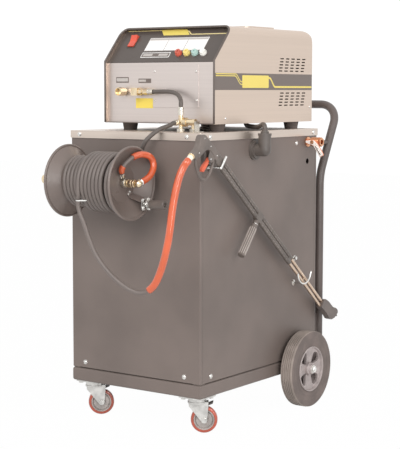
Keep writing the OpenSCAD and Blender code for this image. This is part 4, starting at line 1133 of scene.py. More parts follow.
def facing_points(places: Sequence[tuple[Vector, Vector]]) -> Work:
    """Carrier with a point, and the direction that it faces, for each place.

    Args:
        places: point and outward direction of each, in metres.

    Returns:
        The carrier.
    """
    mesh = bmesh.new()
    facing = mesh.verts.layers.float_vector.new("facing")
    for point, out in places:
        mesh.verts.new(point)[facing] = out
    return mesh


class Head(Enum):
    """Screw heads that the machine uses."""

    PAN = "pan"
    HEX = "hex"
    DOME = "dome"


@dataclass
class Fasteners:
    """Screws set out by places and a kind of head."""

    tree: Tree = field(default_factory=scatter_tree)
    heads: dict[Head, Piece] = field(default_factory=dict)

    def crossed(self, mesh: Work) -> None:
        """Domed head 10 mm across with a crossed slot.

        Args:
            mesh: mesh to add to.
        """
        rings, steps = 9, 32
        skin = []
        for r in (5.0 * i / rings for i in range(1, rings + 1)):
            ring = []
            for a in (2 * math.pi * k / steps for k in range(steps)):
                x, y = r * math.cos(a), r * math.sin(a)
                slot = 1.3 if min(abs(x), abs(y)) < 0.62 and r < 2.9 else 0
                z = 0.4 + 2.2 * math.sqrt(max(0.0, 1 - (r / 5.02) ** 2)) - slot
                ring.append(mesh.verts.new((x * MM, y * MM, z * MM)))
            skin.append(ring)
        skin.append([mesh.verts.new((v.co.x, v.co.y, 0)) for v in skin[-1]])
        centre = mesh.verts.new((0, 0, 1.3 * MM))
        for k in range(steps):
            n = (k + 1) % steps
            mesh.faces.new((centre, skin[0][k], skin[0][n]))
            for a, b in zip(skin, skin[1:]):
                mesh.faces.new((a[k], b[k], b[n], a[n]))
        mesh.faces.new(skin[-1][::-1])

    def head(self, kind: Head) -> Piece:
        """The shape of one head 10 mm across, kept out of the scene.

        Args:
            kind: which head.

        Returns:
            The head's object.
        """
        if kind not in self.heads:
            mesh = bmesh.new()
            if kind is Head.HEX:
                washer = [(0, 0), (0, 6.4), (0.7, 6.6), (1.2, 6.2), (1.2, 0)]
                nut = [(1.1, 0), (1.1, 5.0), (4.2, 5.0), (4.9, 4.2), (4.9, 0)]
                lathe_mesh(washer, Vector(), Z_AXIS, 36, mesh)
                lathe_mesh(nut, Vector(), Z_AXIS, 6, mesh)
            else:
                self.crossed(mesh)
            if kind is Head.DOME:
                collar = [(-0.8, 0), (-0.8, 5.9), (-0.3, 6.1), (0.05, 5.9), (0.05, 0)]
                lathe_mesh(collar, Vector(), Z_AXIS, 40, mesh)
            bmesh.ops.recalc_face_normals(mesh, faces=mesh.faces)
            self.heads[kind] = as_object(mesh, "head." + kind.value)
        return self.heads[kind]

    def set_out(self, name: str, kind: Head, places: Sequence[tuple[Vector, Vector]], size: float,
                body: str = "root", slot: str = "bright_screws") -> Piece:
        """Puts a head at each place.

        Args:
            name: the piece's name.
            kind: which head.
            places: point and outward direction of each screw, in metres.
            size: share of the 10 mm head.
            body: the body that carries them.
            slot: the record's material slot.

        Returns:
            The piece.
        """
        values = {"Shape": self.head(kind), "Size": size, "Turn": 2.2}
        return grow(self.tree, facing_points(places), values, name, slot, body)


# ---------------------------------------------------------------- studio
@dataclass
class Studio:
    """Camera, lamps, world and floor."""

    lens: float = 109.52
    place: Point = (3.1587, -4.34899, 1.2721)
    yaw: float = 35.57
    pitch: float = 5.66
    roll: float = 0.10
    half_floor: float = 14.0

    def camera(self) -> None:
        """Sets up the camera."""
        data = bpy.data.cameras.new("camera")
        data.sensor_width, data.sensor_fit, data.lens = 36.0, "AUTO", self.lens
        data.clip_start, data.clip_end = 0.1, 60.0
        camera = bpy.data.objects.new("camera", data)
        bpy.context.scene.collection.objects.link(camera)
        a, e = math.radians(self.yaw), math.radians(self.pitch)
        look = Vector((-math.sin(a) * math.cos(e), math.cos(a) * math.cos(e), -math.sin(e)))
        camera.location = self.place
        camera.rotation_mode = "QUATERNION"
        camera.rotation_quaternion = look.to_track_quat("-Z", "Y") @ Matrix.Rotation(
            math.radians(self.roll), 3, "Z").to_quaternion()
        bpy.context.scene.camera = camera

    def lamp(self, name: str, place: Point, aim: Point, wide: float, tall: float, power: float) -> None:
        """Adds one soft lamp.

        Args:
            name: its name.
            place, aim: where it stands and what it points at, in metres.
            wide, tall: its sides in metres.
            power: its power in watts.
        """
        data = bpy.data.lights.new(name, "AREA")
        data.shape, data.size, data.size_y, data.energy = "RECTANGLE", wide, tall, power
        lamp = bpy.data.objects.new(name, data)
        bpy.context.scene.collection.objects.link(lamp)
        lamp.location = place
        lamp.rotation_euler = (Vector(aim) - Vector(place)).to_track_quat("-Z", "Y").to_euler()

    def world(self, level: float, shown: float) -> None:
        """Even light all round, with a white background where it is seen.

        Args:
            level: strength that lights the machine.
            shown: strength that the camera and reflections see.
        """
        world = bpy.data.worlds.new("studio")
        bpy.context.scene.world = world
        world.use_nodes = True
        nodes, links = world.node_tree.nodes, world.node_tree.links
        nodes.clear()
        rays = nodes.new("ShaderNodeLightPath").outputs
        seen = rays["Is Camera Ray"]
        for name in ("Is Glossy Ray", "Is Transmission Ray"):
            either = nodes.new("ShaderNodeMath")
            either.operation = "MAXIMUM"
            links.new(seen, either.inputs[0])
            links.new(rays[name], either.inputs[1])
            seen = either.outputs[0]
        mix = nodes.new("ShaderNodeMixShader")
        links.new(seen, mix.inputs[0])
        for place, strength in ((1, level), (2, shown)):
            glow = nodes.new("ShaderNodeBackground")
            glow.inputs["Color"].default_value = (1.0, 1.0, 1.0, 1.0)
            glow.inputs["Strength"].default_value = strength
            links.new(glow.outputs[0], mix.inputs[place])
        links.new(mix.outputs[0], nodes.new("ShaderNodeOutputWorld").inputs["Surface"])

    def floor(self) -> None:
        """Pale floor that keeps a soft shadow."""
        mesh, h = bmesh.new(), self.half_floor
        mesh.faces.new([mesh.verts.new((x, y, -0.0005)) for x, y in block(-h, -h, h, h)])
        floor = as_object(mesh, "floor")
        bpy.context.scene.collection.objects.link(floor)
        shop = Shop("floor_white")
        lit = shop.add("ShaderNodeBsdfDiffuse", 0, None, {
            "Color": shop.mix(shop.noise(40.0), (0.86, 0.86, 0.86), (0.9, 0.9, 0.9))})
        glow = shop.add("ShaderNodeEmission", 0, None, {"Color": (1.0, 1.0, 1.0), "Strength": 1.0})
        rays = (shop.add("ShaderNodeLightPath", f"Is {kind} Ray") for kind in ("Camera", "Glossy"))
        seen = shop.math("MAXIMUM", *rays)
        shop.add_output(shop.add("ShaderNodeMixShader", 0, None, {0: seen * 0.985, 1: lit, 2: glow}))
        floor.data.materials.append(shop.material)

    def build(self) -> None:
        """Sets up everything but the camera."""
        bpy.context.scene.view_settings.view_transform = "Standard"
        self.world(0.62, 1.06)
        self.lamp("key", (1.2, -4.2, 3.4), (0, -0.2, 0.7), 2.6, 2.6, 115.0)
        self.lamp("fill", (4.2, -0.6, 2.2), (0, 0, 0.8), 2.6, 2.6, 42.0)
        self.lamp("strip", (4.3, -3.0, 1.5), (0.2, -0.3, 0.8), 0.3, 2.2, 40.0)
        self.floor()


# ---------------------------------------------------------------- hoses
@dataclass
class Hoses:
    """High-pressure and water hoses, on the routes that the solids hold."""

    radius: float = 8.0
    guard_radius: float = 13.5
    guard_from: int = 11
    core_radius: float = 77.0
    exit_x: float = -43.0
    tail: float = 65.0
    saddle_x: float = -127.0
    collar: tuple[float, float] = (0.5, 0.82)

    def supply(self) -> None:
        """Jumper to the manifold, feed to the reel and suction from the tank."""
        pump_z, lid_z, reel_z, reel_y, tee_x, tee_y, tee_z = 1262, 1114, 935, -163, 144, 100, 1150
        jumper = [
            (-15, 140, pump_z), (4, 140, pump_z), (38, 140, pump_z + 1), (73, 139, pump_z - 1),
            (104, 133, pump_z - 10), (127, 121, pump_z - 28), (140, 107, pump_z - 47),
            (tee_x, tee_y, tee_z + 74), (tee_x, tee_y, tee_z + 56)]
        start = Vector((135.5, 70.6, lid_z + 33))
        away = (start - Vector((140, 100, 1150))).normalized()
        feed = [tuple(start + d * away) for d in (0.1, 4.1, 8.1)] + [
            (133, 50, lid_z + 26), (128, 22, lid_z + 19), (123, -3, lid_z + 11.5), (114, -29, lid_z - 4),
            (103, -45, lid_z - 20), (93, -52, lid_z - 35), (83, -53, lid_z - 55), (67, -46, lid_z - 75),
            (30, -30, reel_z + 84), (-15, -17, reel_z + 74), (-80, -14, reel_z + 70),
            (-150, -14, reel_z + 70), (-215, -15, reel_z + 69), (-250, -18, reel_z + 64),
            (-272, -32, reel_z + 46), (-282, -55, reel_z + 22), (-283, -82, reel_z + 5),
            (-283, reel_y + 68, reel_z), (-283, reel_y + 57, reel_z)]
        top_x, top_z, foot_x = 352, lid_z + 8, 209
        suction = [
            (top_x, 352, top_z), (top_x, 352, top_z + 6), (top_x - 6, 357, top_z + 15),
            (top_x - 20, 368, top_z + 17), (300, 392, top_z + 9), (272, 415, top_z + 6),
            (240, 437, top_z + 6), (foot_x, 449, top_z + 9), (foot_x - 9, 451.5, top_z + 17),
            (foot_x - 10, 452, 1145), (foot_x - 10, 452, 1153)]
        for name, points, radius in (("jumper_hose", jumper, self.radius), ("feed_hose", feed, self.radius),
                                     ("suction_hose", suction, 9.0)):
            path = smooth_route(row(points), 6)
            piece = tube(path, radius, name, "supply_hoses")
            length_of(path)
            2 * radius * MM

    def winding(self) -> None:
        """Hose wound on the drum in two layers."""
        pitch, right, last, drop, low_start, steps = 17.2, 87.0, 26.0, 11.5, -48.0, 48
        top_r, low_r = self.core_radius + 27, self.core_radius + 9.8
        top_turns = (right - last - self.exit_x) / pitch
        low_turns = (low_start - self.saddle_x) / pitch
        turns = math.floor(top_turns + low_turns + 3.5) + 0.25
        stations = [0, top_turns, top_turns + 1, top_turns + 1.25, turns - low_turns, turns]
        places = [self.exit_x, right - last, right, right - drop, low_start, self.saddle_x]
        radii = [top_r] * 3 + [low_r] * 3

        def read(t: float, values: Sequence[float]) -> float:
            """Value at a turn between the stations.

            Args:
                t: the turn.
                values: values at the stations.

            Returns:
                The value there.
            """
            for (t0, v0), (t1, v1) in zip(zip(stations, values), zip(stations[1:], values[1:])):
                if t <= t1:
                    return v0 + (v1 - v0) * (t - t0) / (t1 - t0)
            return values[-1]

        points = [(self.exit_x, -top_r, -self.tail), (self.exit_x, -top_r, -self.tail / 2)]
        for t in (i / steps for i in range(math.floor(steps * turns) + 1)):
            r, angle = read(t, radii), 2 * math.pi * t
            points.append((read(t, places), -r * math.cos(angle), r * math.sin(angle)))
        path = row(points + [(self.saddle_x, 2 * self.radius, low_r)], REEL)
        tube(path, self.radius, "hose_on_drum", "hose_winding", 14)
        log.info("wound hose: %.2f m in %d points", length_of(path), len(path))

    def delivery(self) -> None:
        """Hose from the drum to the gun, with its bright guard sleeve."""
        steps, reel_z, front = 8, 935, -163 - (self.core_radius + 27)
        grip = Vector((-8, -36)).normalized()
        start = GUN.at(0, -4, -92)
        inlet = GUN.at(0, -4 + 24 * grip.x, -92 + 24 * grip.y)
        way = (inlet - start).normalized()
        points = row([
            (self.exit_x, front, reel_z - self.tail), (self.exit_x, front, reel_z - self.tail - 17),
            (-37, -267, 832), (-19, -267, 797), (4, -263, 736), (26, -258, 687), (62, -251, 640),
            (104, -244, 601), (150, -236, 571), (185, -228, 557), (210, -222, 555), (236, -217, 565),
            (262, -211, 592), (285, -205, 646), (300, -198, 709), (309, -191, 770), (314, -181, 850),
            (319, -170, 910), (326, -156, 966), (336, -143, 1002)]) + [inlet + 12 * MM * way, inlet]
        path = smooth_route(points, steps)
        hose = tube(path, self.radius, "delivery_line", "delivery_hose")
        cover = path[self.guard_from * steps:]
        whole = length_of(cover)

        def swell(run: float) -> float:
            """Radius of the sleeve, eased over 1.5 mm at its cut ends."""
            return self.guard_radius - max(0.0, 1.0 - min(run, whole - run) * 1000 / 1.5) * 0.8

        guard = tube(cover, swell, "guard_sleeve", "hose_guard", 28, self.radius + 0.5)
        ring = [
            (0, 0), (0, 12.4), (0.8, 13.2), (2.2, 13.2), (2.6, 12.5), (3.2, 12.5), (3.6, 13.2), (4.6, 13.0),
            (5.2, 12.2), (5.2, 0)]
        nut = [
            (5.2, 0), (5.2, 10.2), (6.2, 10.8), (13.0, 10.8), (13.6, 10.1), (14.6, 10.1), (15.2, 10.8),
            (23.0, 10.6), (24.0, 9.8), (24.0, 0)]
        parts = [turned(ring, start, "connector_ring", "hose_connector", axis=way, look="brass"),
                 turned(nut, start, "connector_nut", "hose_connector", axis=way)]
        length_of(path)

    def link(self) -> None:
        """Short hose in the drum's dish, half of it in a bright sheath."""
        sheath = [
            (150, 13, 4), (150, 26, 8), (151, 45, 15), (150, 72, 30), (147, 92, 56), (142, 93, 80),
            (139, 74, 97), (130, 46, 103), (122, 20, 99), (119, 8, 94)]
        core = [
            (119, 8, 94), (115, -5, 86), (109, -18, 75), (103, -28, 62), (97.5, -30, 50), (93, -23.5, 41),
            (90.5, -17, 34)]
        outer, inner = (smooth_route(row(points, REEL), 8) for points in (sheath, core))
        tube(outer, 12, "link_sheath", "link_hose", 28)
        tube(inner, self.radius, "link_line", "link_hose", slot="grey_hose")
        first, last = (int(len(inner) * share) for share in self.collar)
        tube(inner[first:last], 11, "link_collar", "link_hose", 28, 8.1, 50.0)

    def build(self) -> None:
        """Makes every hose."""
        self.winding()
        self.delivery()
        self.supply()
        self.link()


# ---------------------------------------------------------------- wheels
@dataclass
class RearWheel:
    """Ribbed tyre on a dished casting with four flared spokes, and the end of its axle."""

    side: int
    inner: float = 323.0
    outer: float = 377.0
    radius: float = 152.5
    rim: float = 91.0
    centre_y: float = 672.0
    spoke_turn: float = -3.0

    def __post_init__(self) -> None:
        """Works out the side's name and the middle of the axle's line."""
        self.label, self.centre = side_name(self.side), MAIN.at(0, self.centre_y, self.radius)

    def part(self, name: str, node: str, profile: Outline, steps: int = 96, look: str = "") -> None:
        """One turned piece; its profile gives distances from the machine's middle."""
        shape = [(self.side * x, r) for x, r in profile]
        turned(shape, self.centre, f"{name}_{self.label}", node, steps, smooth=28.0, look=look)

    def tyre(self) -> None:
        """Tread with five grooves and the sidewalls down to the bead."""
        middle, half, r = (self.inner + self.outer) / 2, (self.outer - self.inner) / 2, self.radius
        belt = [(-half + 2.0, r - 1.0)]
        for groove in (-17.0, -8.5, 0.0, 8.5, 17.0):
            belt += [(groove - 1.3, r), (groove - 0.8, r - 3.4), (groove + 0.8, r - 3.4), (groove + 1.3, r)]
        belt += [
            (half - 2.0, r - 1.0), (half - 0.7, r - 2.4), (half - 0.7, r - 6.0), (-half + 0.7, r - 6.0),
            (-half + 0.7, r - 2.4)]
        wall = [
            (half - 0.7, r - 2.6), (half, r - 6.0), (half + 0.2, r - 12.0), (half - 0.6, r - 24.0),
            (half - 0.1, r - 26.0), (half - 0.6, r - 28.0), (half - 2.2, self.rim + 18.0),
            (half - 1.4, self.rim + 16.0), (half - 2.2, self.rim + 13.0), (half - 2.6, self.rim + 5.0),
            (half - 3.6, self.rim + 0.3)]
        # The tread takes the lighter rubber: painted light where it faces the lamps; the sidewalls keep the
        # plain rubber.
        for name, profile, look in (("tyre_tread", belt, "tread_rubber"), ("tyre_body", mirrored(wall), "")):
            self.part(name, f"rear_tyre_{self.label}", [(middle + x, q) for x, q in profile], 144, look)

    def web(self) -> Work:
        """Four flared spokes that run together at the boss and at the rim.

        Returns:
            The worked mesh.
        """
        # Radius in millimetres and half spread in degrees
        table = [
            (16, 45), (24, 45), (27, 40), (32, 34), (40, 29.5), (50, 26.5), (60, 24.5), (68, 24), (74, 27),
            (78, 34), (80.5, 45), (84, 45)]
        mesh, steps, deep = bmesh.new(), 12, 13.0

        def point(spoke: int, r: float, spread: float, k: int, drop: float) -> bmesh.types.BMVert:
            """Corner k across a spoke at a radius, a drop behind its dished face.

            Args:
                spoke: which spoke.
                r, spread: radius in millimetres and half spread in degrees.
                k: step across the spoke.
                drop: depth behind the face in millimetres.

            Returns:
                The vertex.
            """
            a = math.radians(90 * spoke + self.spoke_turn + spread * (2 * k / steps - 1))
            x = 361.0 + 8.0 * (r / 80) ** 2 - drop
            way = Vector((self.side * x, -r * math.sin(a), r * math.cos(a)))
            return mesh.verts.new(self.centre + way * MM)

        for spoke in range(4):
            top, low = ([[point(spoke, r, spread, k, drop) for k in range(steps + 1)] for r, spread in table]
                        for drop in (0.0, deep))
            for i in range(len(table) - 1):
                for grid in (top, low):
                    for k in range(steps):
                        mesh.faces.new((grid[i][k], grid[i][k + 1], grid[i + 1][k + 1], grid[i + 1][k]))
                if min(table[i][1], table[i + 1][1]) < 45:
                    for k in (0, steps):
                        mesh.faces.new((top[i][k], top[i + 1][k], low[i + 1][k], low[i][k]))
            for i in (0, len(table) - 1):
                for k in range(steps):
                    mesh.faces.new((top[i][k], top[i][k + 1], low[i][k + 1], low[i][k]))
        bmesh.ops.remove_doubles(mesh, verts=mesh.verts, dist=0.00001)
        bmesh.ops.recalc_face_normals(mesh, faces=mesh.faces)
        soften(mesh, [e for e in mesh.edges if len(e.link_faces) == 2
                      and e.calc_face_angle(0.0) > math.radians(60)], 2.4)
        return mesh

    def build(self) -> None:
        """Makes the tyre, the casting with its rim, back and boss, and the axle's washer, nut and tip."""
        self.tyre()
        hub = f"rear_hub_{self.label}"
        stand_in(self.web(), f"hub_web_{self.label}", hub, 40.0)
        self.part("hub_rim", hub, [
            (325, 90.5), (372, 90.5), (375.5, 90.8), (377.6, 89.8), (378.2, 88), (377.2, 86), (373, 84.6),
            (368, 83.4), (345, 82), (325, 82)])
        self.part("hub_back", hub, [(330, 0), (330, 83), (334, 83), (334, 0)])
        self.part("hub_boss", hub, [
            (315.2, 0), (315.2, 22), (340, 24), (366, 26), (371, 25.4), (373, 24), (373.6, 21), (376, 20),
            (381, 19.6), (382.6, 18.4), (383, 16), (383, 0)], 64)
        nut = [(385.1, 0), (385.1, 14.2), (391.0, 14.2), (392.2, 12.6), (392.2, 0)]
        for name, steps, profile in (("washer", 48, [(383.1, 0), (383.1, 16), (385.1, 16), (385.1, 0)]),
                                     ("nut", 6, nut),
                                     ("tip", 40, [(392, 0), (392, 8.4), (394.2, 8.2), (395, 7.2), (395, 0)])):
            self.part("axle_" + name, "rear_axle", profile, steps, "chrome")


@dataclass
class Axle:
    """Rod through both wheels with a collar outside each side panel."""

    end: float = 383.0
    radius: float = 9.5
    centre_y: float = 672.0
    centre_z: float = 152.5

    def build(self) -> None:
        """Makes the rod."""
        r = self.radius
        half = [(-self.end, 0), (-self.end, r), (-314.6, r), (-314.6, 17), (-305.2, 17), (-305.2, r)]
        turned(mirrored(half), MAIN.at(0, self.centre_y, self.centre_z), "axle_rod", "rear_axle", smooth=28.0)


@dataclass
class CastorWheel:
    """Polyurethane tread on a cast core."""

    side: int
    turn: float
    radius: float = 50.0
    half: float = 16.0

    def build(self) -> None:
        """Makes the tread and the core."""
        name, r, h, a = side_name(self.side), self.radius, -self.half, math.radians(self.turn)
        node = f"caster_wheel_{name}"
        low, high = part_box(node)
        centre, axis = (Vector(low) + Vector(high)) / 2, Vector((-math.sin(a), math.cos(a), 0))
        tread = [
            (h + 2, r - 11), (h + 0.2, r - 10), (h, r - 6), (h + 1.5, r - 2.2), (h + 5, r - 0.5), (h + 9, r)]
        core = [
            (h + 3, 6.5), (h + 3, 13), (h + 9, 15), (h + 9.5, 30), (h + 4.5, 33.5), (h + 2.6, 35),
            (h + 2.6, r - 10.8)]
        turned(mirrored(tread), centre, f"castor_tread_{name}", node, 96, axis)
        turned(mirrored(core), centre, f"castor_core_{name}", node, 72, axis, look="core_alloy", slot="zinc")
        log.info("castor %s at %s", name, tuple(round(c, 3) for c in centre))


# ---------------------------------------------------------------- gun, lance and handles
@dataclass
class Gun:
    """Two moulded half shells with a guard loop, a trigger in its housing and four small screws."""

    half: float = 12.5
    pivot: tuple[float, float] = (85.0, -38.0)

    def shells(self) -> None:
        """Grip and barrel in two halves with a thin seam, the guard loop and the trigger's housing."""
        outline = rounded([
            (-13, -19), (-11, -5), (-3, 5), (12, 9), (60, 9), (118, 12), (118, -22), (104, -22), (95, -17),
            (62, -17), (46, -25), (38, -38), (27, -74), (12, -95.5), (-17, -89.1), (-7, -80), (0, -58),
            (0, -38)], 6, 4)
        for side, faces, edges in (("right", (0.15, self.half), (0.4, 4.2)),
                                   ("left", (-self.half, -0.15), (4.2, 0.4))):
            stand_in(moulding(GUN_SIDE, outline, *faces, *edges), f"gun_shell_{side}", "gun_body", 40.0)
        loop = [
            (18, -82), (34, -101), (62, -115), (92, -120), (113, -108), (122, -82), (121, -54), (112, -20)]
        tube(smooth_route(row(loop, GUN_SIDE), 6), 5.4, "gun_guard", "gun_body")
        cheeks, cheek = bmesh.new(), rounded([(60, -14), (109, -14), (98, -47), (76, -47)], 5, 4)
        for shape in ((6.7, 10.5, 0.3, 1.4), (-10.5, -6.7, 1.4, 0.3)):
            joined(cheeks, moulding(GUN_SIDE, cheek, *shape))
        stand_in(cheeks, "trigger_cheeks", "gun_body", 40.0)
        pin = mirrored([(-11.3, 0), (-11.3, 3.4)])
        turned(pin, GUN_SIDE.at(*self.pivot), "trigger_pin", "gun_body", 24, look="chrome")

    def build(self, fasteners: Fasteners) -> None:
        """Makes the shells, the curved blade on its pivot and the screws.

        Args:
            fasteners: where its screws come from.
        """
        self.shells()
        a0, b0 = self.pivot
        arc = [(7 * math.cos(math.radians(t)), 7 * math.sin(math.radians(t))) for t in range(-30, 211, 15)]
        blade = arc + rounded([
            (-9, -14), (-13, -34), (-15, -50), (-12, -59), (-5, -62), (1, -57), (3, -36), (5, -14)], 4, 3)
        mesh = moulding(GUN_SIDE, [(a0 + a, b0 + b) for a, b in blade], -6, 6, 1.6, 1.6)
        stand_in(mesh, "trigger_blade", "trigger", 40.0)
        places = [(GUN_SIDE.at(a, b, self.half), GUN_SIDE.normal())
                  for a, b in ((6, -6), (54, -4), (106, -6), (13, -66))]
        fasteners.set_out("gun_screws", Head.PAN, places, 0.46)


@dataclass
class Lance:
    """Marks moulded in the lance's sleeves, and the ribbed side handle."""

    tubes: tuple[float, float] = (-13.0, 7.0)
    skin: float = 9.8
    handle_at: float = 484.0
    ribs: int = 10

    def sleeves(self) -> None:
        """Rows of short bars along both sleeves."""
        bar = rounded(block(-1.1, -6.2, 1.1, 6.2), 1.0, 2)
        shape = moulding(tilted((0, -Y_SHIFT, 0)), bar, -0.6, 0.7, 0.0, 0.3)
        places = []
        for b in self.tubes:
            for a in (math.radians(-38), math.radians(22)):
                out = GUN.way(math.cos(a), 0, math.sin(a)).normalized()
                across, up = self.skin * math.cos(a), b + self.skin * math.sin(a)
                for start, count, step in ((183, 13, 21.0), (521, 12, 20.5)):
                    places += [(GUN.at(across, start + k * step, up), out) for k in range(count)]
        values = {"Shape": as_object(shape, "sleeve_bar"), "Size": 1.0, "Turn": 0.0,
                  "Along": GUN.way(0, 1, 0)}
        grow(scatter_tree(True), facing_points(places), values, "sleeve_bars", SLOT_OF["lance_sleeves"],
             "root", "sleeve_mark")

    def handle(self) -> None:
        """Grip with lengthwise ribs, a collar and an end cap."""
        centre, axis = GUN.at(0, self.handle_at, self.tubes[0] - 11.2), GUN.way(0, 0, -1)
        grip = [
            (0, 0), (0, 9.6), (1, 11), (13, 11), (14, 9.8), (17, 9.8), (18, 12.4), (22, 13.2), (24, 12.2),
            (26, 12.2), (27, 13.4), (31, 13.4), (32, 12.4), (154, 12.8), (155, 13.8), (158.5, 14.2),
            (160, 13.2), (160, 0)]
        turned(grip, centre, "grip_body", "side_handle", axis=axis)
        ribs = bmesh.new()
        for a in (2 * math.pi * k / self.ribs for k in range(self.ribs)):
            side = GUN.way(math.cos(a), math.sin(a), 0).normalized()
            path = [centre + axis.normalized() * (d * MM) + side * (12.6 * MM) for d in (33, 60, 100, 153)]
            joined(ribs, tube_mesh(path, 1.7, 10))
        # The ribs take the lighter finish, which paints the highlights along them.
        stand_in(ribs, "grip_ribs", "side_handle", 50.0, "grip_rib", False)
        collar = [(14, 0), (14, 10.6), (15, 11), (16.4, 11), (17, 10.4), (17, 0)]
        turned(collar, centre, "grip_collar", "side_handle", 40, axis, look="chrome")


@dataclass
class PushHandle:
    """Bent tube with its gussets, feet and standoffs."""

    x: float = 286.0
    y: float = 874.0
    foot_z: float = 250.0
    bend_z: float = 922.0
    top_y: float = 1022.0
    top_z: float = 1209.0
    corner: float = 85.0
    radius: float = 17.0
    panel_y: float = 815.2
    standoff_z: float = 1054.0

    def route(self) -> list[Vector]:
        """Centreline from one foot over the bar to the other.

        Returns:
            Its points in metres.
        """
        bend = Vector((self.x, self.y, self.bend_z))
        lean = Vector((0, self.top_y - self.y, self.top_z - self.bend_z)).normalized()
        half = [Vector((self.x, self.y, z)) for z in (self.foot_z, self.foot_z + 200, self.bend_z - 60)]
        for t in (step / 8 for step in range(1, 8)):
            low = Vector((self.x, self.y, self.bend_z - 45)).lerp(bend, t)
            half.append(low.lerp(bend.lerp(bend + lean * 45, t), t))
        end = Vector((self.x, self.top_y, self.top_z)) - lean * self.corner
        half += [bend + lean * 80, end - lean * 30]
        for a in (math.radians(90 * step / 12) for step in range(13)):
            half.append(end + lean * (self.corner * math.sin(a))
                        - Vector((self.corner * (1 - math.cos(a)), 0, 0)))
        half += [Vector((x, self.top_y, self.top_z)) for x in (120, 0)]
        return row(half + [Vector((-p.x, p.y, p.z)) for p in half[-2::-1]])

    def build(self) -> None:
        """Makes the handle."""
        tube(self.route(), self.radius, "handle_tube", "push_handle", 28, smooth=50.0)
        slope = (self.top_y - self.y) / (self.top_z - self.bend_z)
        reach = self.y + (self.standoff_z - self.bend_z) * slope - self.panel_y
        rod = [(0, 0), (0, 14.4), (0.6, 15), (4, 15), (4.4, 14.4), (4.4, 9), (reach, 9), (reach, 0)]
        rib = [(819, 262), (self.y - 12, 276), (self.y - 12, 346), (819, 357)]
        for side in (-1, 1):
            x, label = side * self.x, side_name(side)
            back = Plane((x, self.panel_y, 0), (1, 0, 0), (0, 0, 1), (0, 1, 0))
            web = moulding(facing_side((x, 0, 0)), rib, -3, 3, 0.8, 0.8)
            joined(web, moulding(back, rounded(block(-15, 262, 15, 357), 4), 0.0, 4.0, 0.0, 0.8))
            stand_in(web, f"handle_gusset_{label}", "push_handle")
            place = MAIN.at(x, self.panel_y, self.standoff_z)
            turned(rod, place, f"handle_standoff_{label}", "push_handle", 36, Vector((0, 1, 0)))


@dataclass
class ValveLever:
    """Stamped lever with a bright grip on a coloured plate."""

    pivot: Point = (345, 712, 1062)

    def build(self) -> None:
        """Makes the arm, the plate behind it and the rib."""
        arm = [
            (-28, 6), (-30, 0), (-26, -4), (6, -12), (28, -44), (36, -58), (52, -50), (46, -38), (22, -4),
            (8, 8)]
        back = [
            (-29, 7.5), (-31.5, 0), (-27, -5.5), (5, -13.5), (26.5, -45), (35.5, -60), (54, -50.5),
            (47.5, -37), (23.5, -2.5), (8.5, 10)]
        rib = [(15, -17), (20, -14), (43, -48), (38, -52)]
        for name, outline, corner, shape, look in (("arm", arm, 3, (0.6, 3.2, 0.3, 0.9), "lever_silver"),
                                                   ("back", back, 3, (-2.6, 0.6, 0.6, 0.6), "lever_plate"),
                                                   ("rib", rib, 2, (3.1, 3.9, 0.0, 0.4), "")):
            mesh = moulding(facing_front(self.pivot), rounded(outline, corner, 3), *shape)
            stand_in(mesh, "lever_" + name, "valve_lever", look=look)


